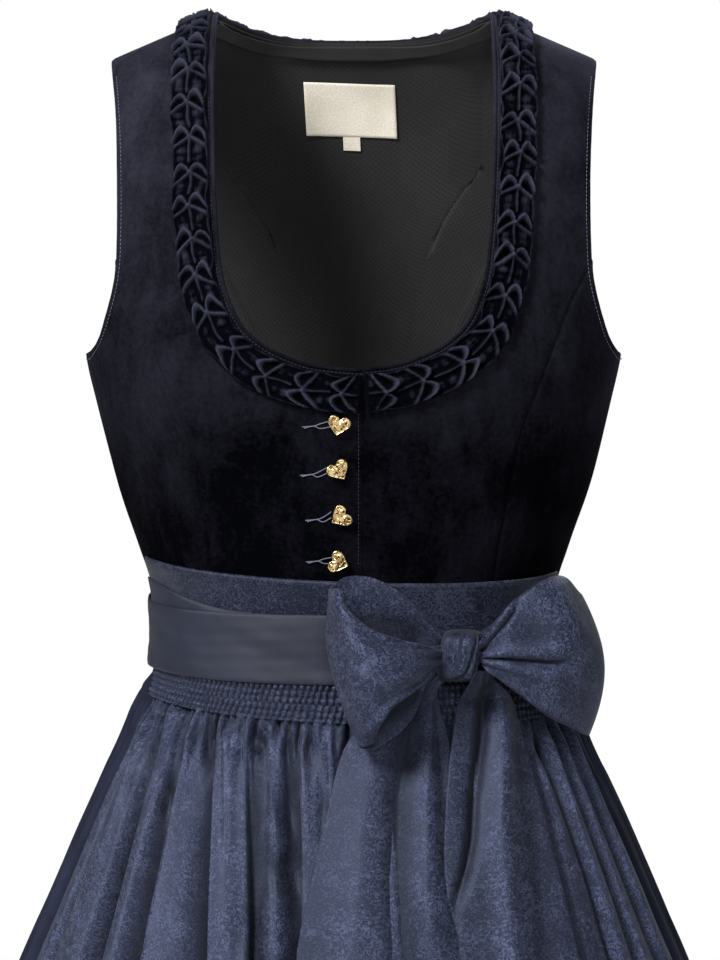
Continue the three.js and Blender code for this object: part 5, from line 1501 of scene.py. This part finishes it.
def bow_knot():
    """The knot: a squared-off round with slanting folds over it, drawn in at its middle, painted darker in its
    folds and at its bottom and top: painted shade.
    """
    low, high = KNOT_LOW, KNOT_HIGH
    middle, half = (low + high) / 2, (high - low) / 2
    rows, columns = 60, 96
    tilt = np.linspace(math.pi / 2, -math.pi / 2, rows + 2)[1:-1, None]
    turn = np.linspace(0, 2 * math.pi, columns, endpoint=False)[None, :] - math.pi / 2
    ring = power(np.cos(tilt), 0.35)
    level = (1 - np.sin(tilt)) / 2
    flutes = 1 - 0.012 * (1 + np.cos(turn * 11 + 2 * level)) * (np.sin(turn) < 0.2)
    for across, width, depth in KNOT_FOLDS:
        flutes = flutes - depth * bump(np.cos(turn), across(level), width) * (np.sin(turn) < 0.1)
    waist = 1 - 0.1 * np.cos(tilt) ** 2
    x = middle[0] + half[0] * ring * power(np.cos(turn), 0.6) * waist * flutes
    y = middle[1] + half[1] * ring * power(np.sin(turn), 0.6) * flutes
    z = middle[2] + half[2] * power(np.sin(tilt), 0.7) + 0 * turn
    x = x + 0.16 * (z - middle[2])
    points = np.stack([x, y, z], -1).reshape(-1, 3)
    index = np.arange(rows * columns).reshape(rows, columns)
    after = np.roll(index, -1, axis=1)
    faces = np.stack([index[:-1], index[1:], after[1:], after[:-1]], -1).reshape(-1, 4).tolist()
    ends = [[middle[0], middle[1], end[2]] for end in (high, low)]
    points = np.concatenate([points, ends])
    faces += [(len(points) - 2, index[0, k], after[0, k]) for k in range(columns)]
    faces += [(len(points) - 1, after[-1, k], index[-1, k]) for k in range(columns)]
    cut_width, cut_length = 0.09, 0.034
    u = np.tile(np.linspace(0, cut_width, columns), rows)
    v = np.repeat(np.linspace(0, cut_length, rows), columns)
    uv = np.concatenate([np.stack([u, v], -1), [[cut_width / 2, 0], [cut_width / 2, cut_length]]])
    # painted shade in the folds of the knot and at its bottom and top
    painted_light = 0.5 - 6.5 * (1 - flutes) - 0.5 * smooth(0.7, 1.0, level) - 0.25 * smooth(0.12, 0.0, level)
    painted_light = np.append((painted_light + 0 * turn).ravel(), [0.2, 0.1])
    piece = make_mesh("bow_knot_damask", points, faces, uv, None, [DAMASK], painted_light)
    outward(piece)
    return dress(piece, "jacquard", "bow_knot")


bow_knot()

# ---------------------------------------------------------------- sewing
def stitch_tree():
    """Stitches of thread laid end to end along a line."""
    tree = bpy.data.node_groups.new("stitches_on_a_line", "GeometryNodeTree")
    sockets = tree.interface
    sockets.new_socket("Geometry", in_out="INPUT", socket_type="NodeSocketGeometry")
    for label in ("Pitch", "Stitch length", "Thread width"):
        sockets.new_socket(label, in_out="INPUT", socket_type="NodeSocketFloat")
    sockets.new_socket("Thread", in_out="INPUT", socket_type="NodeSocketMaterial")
    sockets.new_socket("Geometry", in_out="OUTPUT", socket_type="NodeSocketGeometry")
    node = tree.nodes.new
    join = tree.links.new
    given = node("NodeGroupInput")
    line = node("GeometryNodeMeshToCurve")
    spots = node("GeometryNodeCurveToPoints")
    spots.mode = "LENGTH"
    bead = node("GeometryNodeMeshUVSphere")
    bead.inputs["Segments"].default_value = 6
    bead.inputs["Rings"].default_value = 4
    bead.inputs["Radius"].default_value = 0.5
    size = node("ShaderNodeCombineXYZ")
    laid = node("GeometryNodeInstanceOnPoints")
    solid = node("GeometryNodeRealizeInstances")
    dyed = node("GeometryNodeSetMaterial")
    result = node("NodeGroupOutput")
    join(given.outputs["Geometry"], line.inputs[0])
    join(line.outputs[0], spots.inputs["Curve"])
    join(given.outputs["Pitch"], spots.inputs["Length"])
    join(spots.outputs["Points"], laid.inputs["Points"])
    join(spots.outputs["Rotation"], laid.inputs["Rotation"])
    join(bead.outputs["Mesh"], laid.inputs["Instance"])
    join(given.outputs["Thread width"], size.inputs[0])
    join(given.outputs["Thread width"], size.inputs[1])
    join(given.outputs["Stitch length"], size.inputs[2])
    join(size.outputs[0], laid.inputs["Scale"])
    join(laid.outputs[0], solid.inputs[0])
    join(solid.outputs[0], dyed.inputs["Geometry"])
    join(given.outputs["Thread"], dyed.inputs["Material"])
    join(dyed.outputs[0], result.inputs[0])
    return tree


STITCH_TREE = stitch_tree()


def stitches(name, lines, pitch, length, width, thread, slot):
    """Runs of stitches along lines of points; pitch is the way from one stitch to the next."""
    points = np.concatenate(lines) / 1000
    edges = []
    first = 0
    for line in lines:
        edges += [(i, i + 1) for i in range(first, first + len(line) - 1)]
        first += len(line)
    mesh = bpy.data.meshes.new(name)
    mesh.from_pydata([tuple(p) for p in points], edges, [])
    piece = bpy.data.objects.new(name, mesh)
    bpy.context.scene.collection.objects.link(piece)
    sewing = piece.modifiers.new("sewing", "NODES")
    sewing.node_group = STITCH_TREE
    wanted = {"Pitch": pitch / 1000, "Stitch length": length / 1000, "Thread width": width / 1000,
              "Thread": thread}
    for socket in STITCH_TREE.interface.items_tree:
        if socket.name in wanted:
            sewing[socket.identifier] = wanted[socket.name]
    graph = bpy.context.evaluated_depsgraph_get()
    sewn = bpy.data.meshes.new_from_object(piece.evaluated_get(graph))
    piece.modifiers.clear()
    piece.data = sewn
    sewn.polygons.foreach_set("use_smooth", np.ones(len(sewn.polygons), bool))
    tops = sewn.attributes.new("painted_light", "FLOAT", "POINT")
    tops.data.foreach_set("value", np.full(len(sewn.vertices), 0.5))
    return dress(piece, slot)


def front_line(rows, lift):
    """A fine line over the front through rows of x and height."""
    line = through(rows, 24)
    return off_skin(angle_at(line[:, 0], line[:, 1]), line[:, 1], lift)


# the outer end of each buttonhole, as x and height
BUTTONHOLES = [(-30.8, -252), (-32.2, -282), (-29.2, -310), (-28.7, -336)]
HOLE_LIFT, HOLE_INNER_X = 0.45, -14


def buttonhole_lines(end_x, end_z, button_z):
    """The two worked edges of a buttonhole, which meet before its outer end."""
    fork = (end_x + 6.5, end_z + 0.6)
    upper = [(end_x, end_z), fork, (end_x + 10.5, end_z + 2.0), (HOLE_INNER_X, button_z + 2.2)]
    lower = [(end_x + 1, end_z - 0.7), fork, (end_x + 10.5, end_z - 0.9), (HOLE_INNER_X, button_z - 1.4)]
    return [front_line(rows, HOLE_LIFT) for rows in (upper, lower)]


hole_lines = []
for (end_x, end_z), button in zip(BUTTONHOLES, BUTTONS):
    hole_lines += buttonhole_lines(end_x, end_z, button[2])
stitches("buttonhole_thread", hole_lines, 0.55, 0.95, 0.8, THREAD, "velvet")


def armhole_line(edge, side, hand, inset):
    """A line beside an armhole's edge, that far in from it."""
    points = edge.stretch(side, edge.share_at(float(ridge(SHOULDER_TIP)) - 12), 1, 90)
    run = unit(np.gradient(points, axis=0))
    points = points + np.stack([run[:, 1], -run[:, 0]], -1) * inset
    if hand == "right":
        points = mirrored(points)
    return off_skin(angle_on(side, points[:, 0], points[:, 1]), points[:, 1], STITCH_LIFT)


STITCH_LIFT, PITCH, LENGTH = 0.3, 2.5, 1.9
armhole_lines = [armhole_line(edge, side, hand, 3.4) for hand in ("right", "left")
                 for edge, side in ((armhole_front, "front"), (armhole_back, "back"))]
stitches("armhole_stitches", armhole_lines, PITCH, LENGTH, 0.42, THREAD, "velvet")
stitches("neck_stitches", [beside_neck(2.3, STITCH_LIFT, 4)], PITCH, LENGTH, 0.4, DARK_THREAD, "velvet")
closing_z = np.linspace(-244, -337, 60)
closing_x = np.full(len(closing_z), CLOSING_X - 2.6)
closing_line = off_skin(angle_at(closing_x, closing_z), closing_z, STITCH_LIFT)
stitches("closing_stitches", [closing_line], PITCH, LENGTH, 0.4, DARK_THREAD, "velvet")
band_phi = np.radians(np.linspace(-APRON_HALF_ANGLE, APRON_HALF_ANGLE, 200))
band_line = off_skin(band_phi, band_top(band_phi) - 2, BAND_LIFT + BAND_THICK + 0.1)
stitches("waistband_stitches", [band_line], 2.6, 2.0, 0.4, DARK_THREAD, "jacquard")
smock_shares = [k / (SMOCK_LINES + SMOCK_MARGIN) for k in range(2, SMOCK_LINES + 2)]
smock_lines = [off_skin(band_phi, lerp(*smock_edges(band_phi), share), 2.0) for share in smock_shares]
stitches("smocking_threads", smock_lines, 1.9, 1.5, 0.5, DARK_THREAD, "jacquard")

# ---------------------------------------------------------------- studio
FLOOR_Z, FLOOR_HALF = -1.4, 3.0
ROOM_LIGHT, ROOM_SEEN = 0.17, 1.0
LIT_POINT = Vector((0, 0, -0.35))
# name, place, energy and size
LAMPS = [("key_light", (-1.5, -1.9, 1.7), 150, 0.8), ("fill_light", (0.3, -2.7, 0.5), 24, 0.9),
         ("back_light", (0.9, 2.0, 1.4), 40, 1.6)]


def pale_floor():
    floor_mesh = bpy.data.meshes.new("floor")
    corners = [(-1, -1), (1, -1), (1, 1), (-1, 1)]
    floor_mesh.from_pydata([(x * FLOOR_HALF, y * FLOOR_HALF, FLOOR_Z) for x, y in corners], [], [(0, 1, 2, 3)])
    floor = bpy.data.objects.new("floor", floor_mesh)
    bpy.context.scene.collection.objects.link(floor)
    pale = Finish("pale_floor")
    pale.set(Base_Color=(0.9, 0.9, 0.9, 1), Roughness=0.8)
    floor_mesh.materials.append(pale.material)


def white_room():
    """White where the camera sees it, and a weaker light on the cloth."""
    world = bpy.data.worlds.new("studio")
    world.use_nodes = True
    tree = world.node_tree
    seen = tree.nodes.new("ShaderNodeLightPath").outputs["Is Camera Ray"]
    strength = tree.nodes.new("ShaderNodeMapRange")
    tree.links.new(seen, strength.inputs[0])
    strength.inputs[3].default_value = ROOM_LIGHT
    strength.inputs[4].default_value = ROOM_SEEN
    tree.nodes["Background"].inputs["Color"].default_value = (1, 1, 1, 1)
    tree.links.new(strength.outputs[0], tree.nodes["Background"].inputs["Strength"])
    bpy.context.scene.world = world
    bpy.context.scene.view_settings.view_transform = "Standard"


def lamps():
    for name, place, energy, size in LAMPS:
        light = bpy.data.lights.new(name, "AREA")
        light.energy = energy
        light.size = size
        lamp = bpy.data.objects.new(name, light)
        lamp.location = place
        lamp.rotation_euler = (LIT_POINT - lamp.location).to_track_quat("-Z", "Y").to_euler()
        bpy.context.scene.collection.objects.link(lamp)


pale_floor()
white_room()
lamps()
bpy.context.view_layer.update()
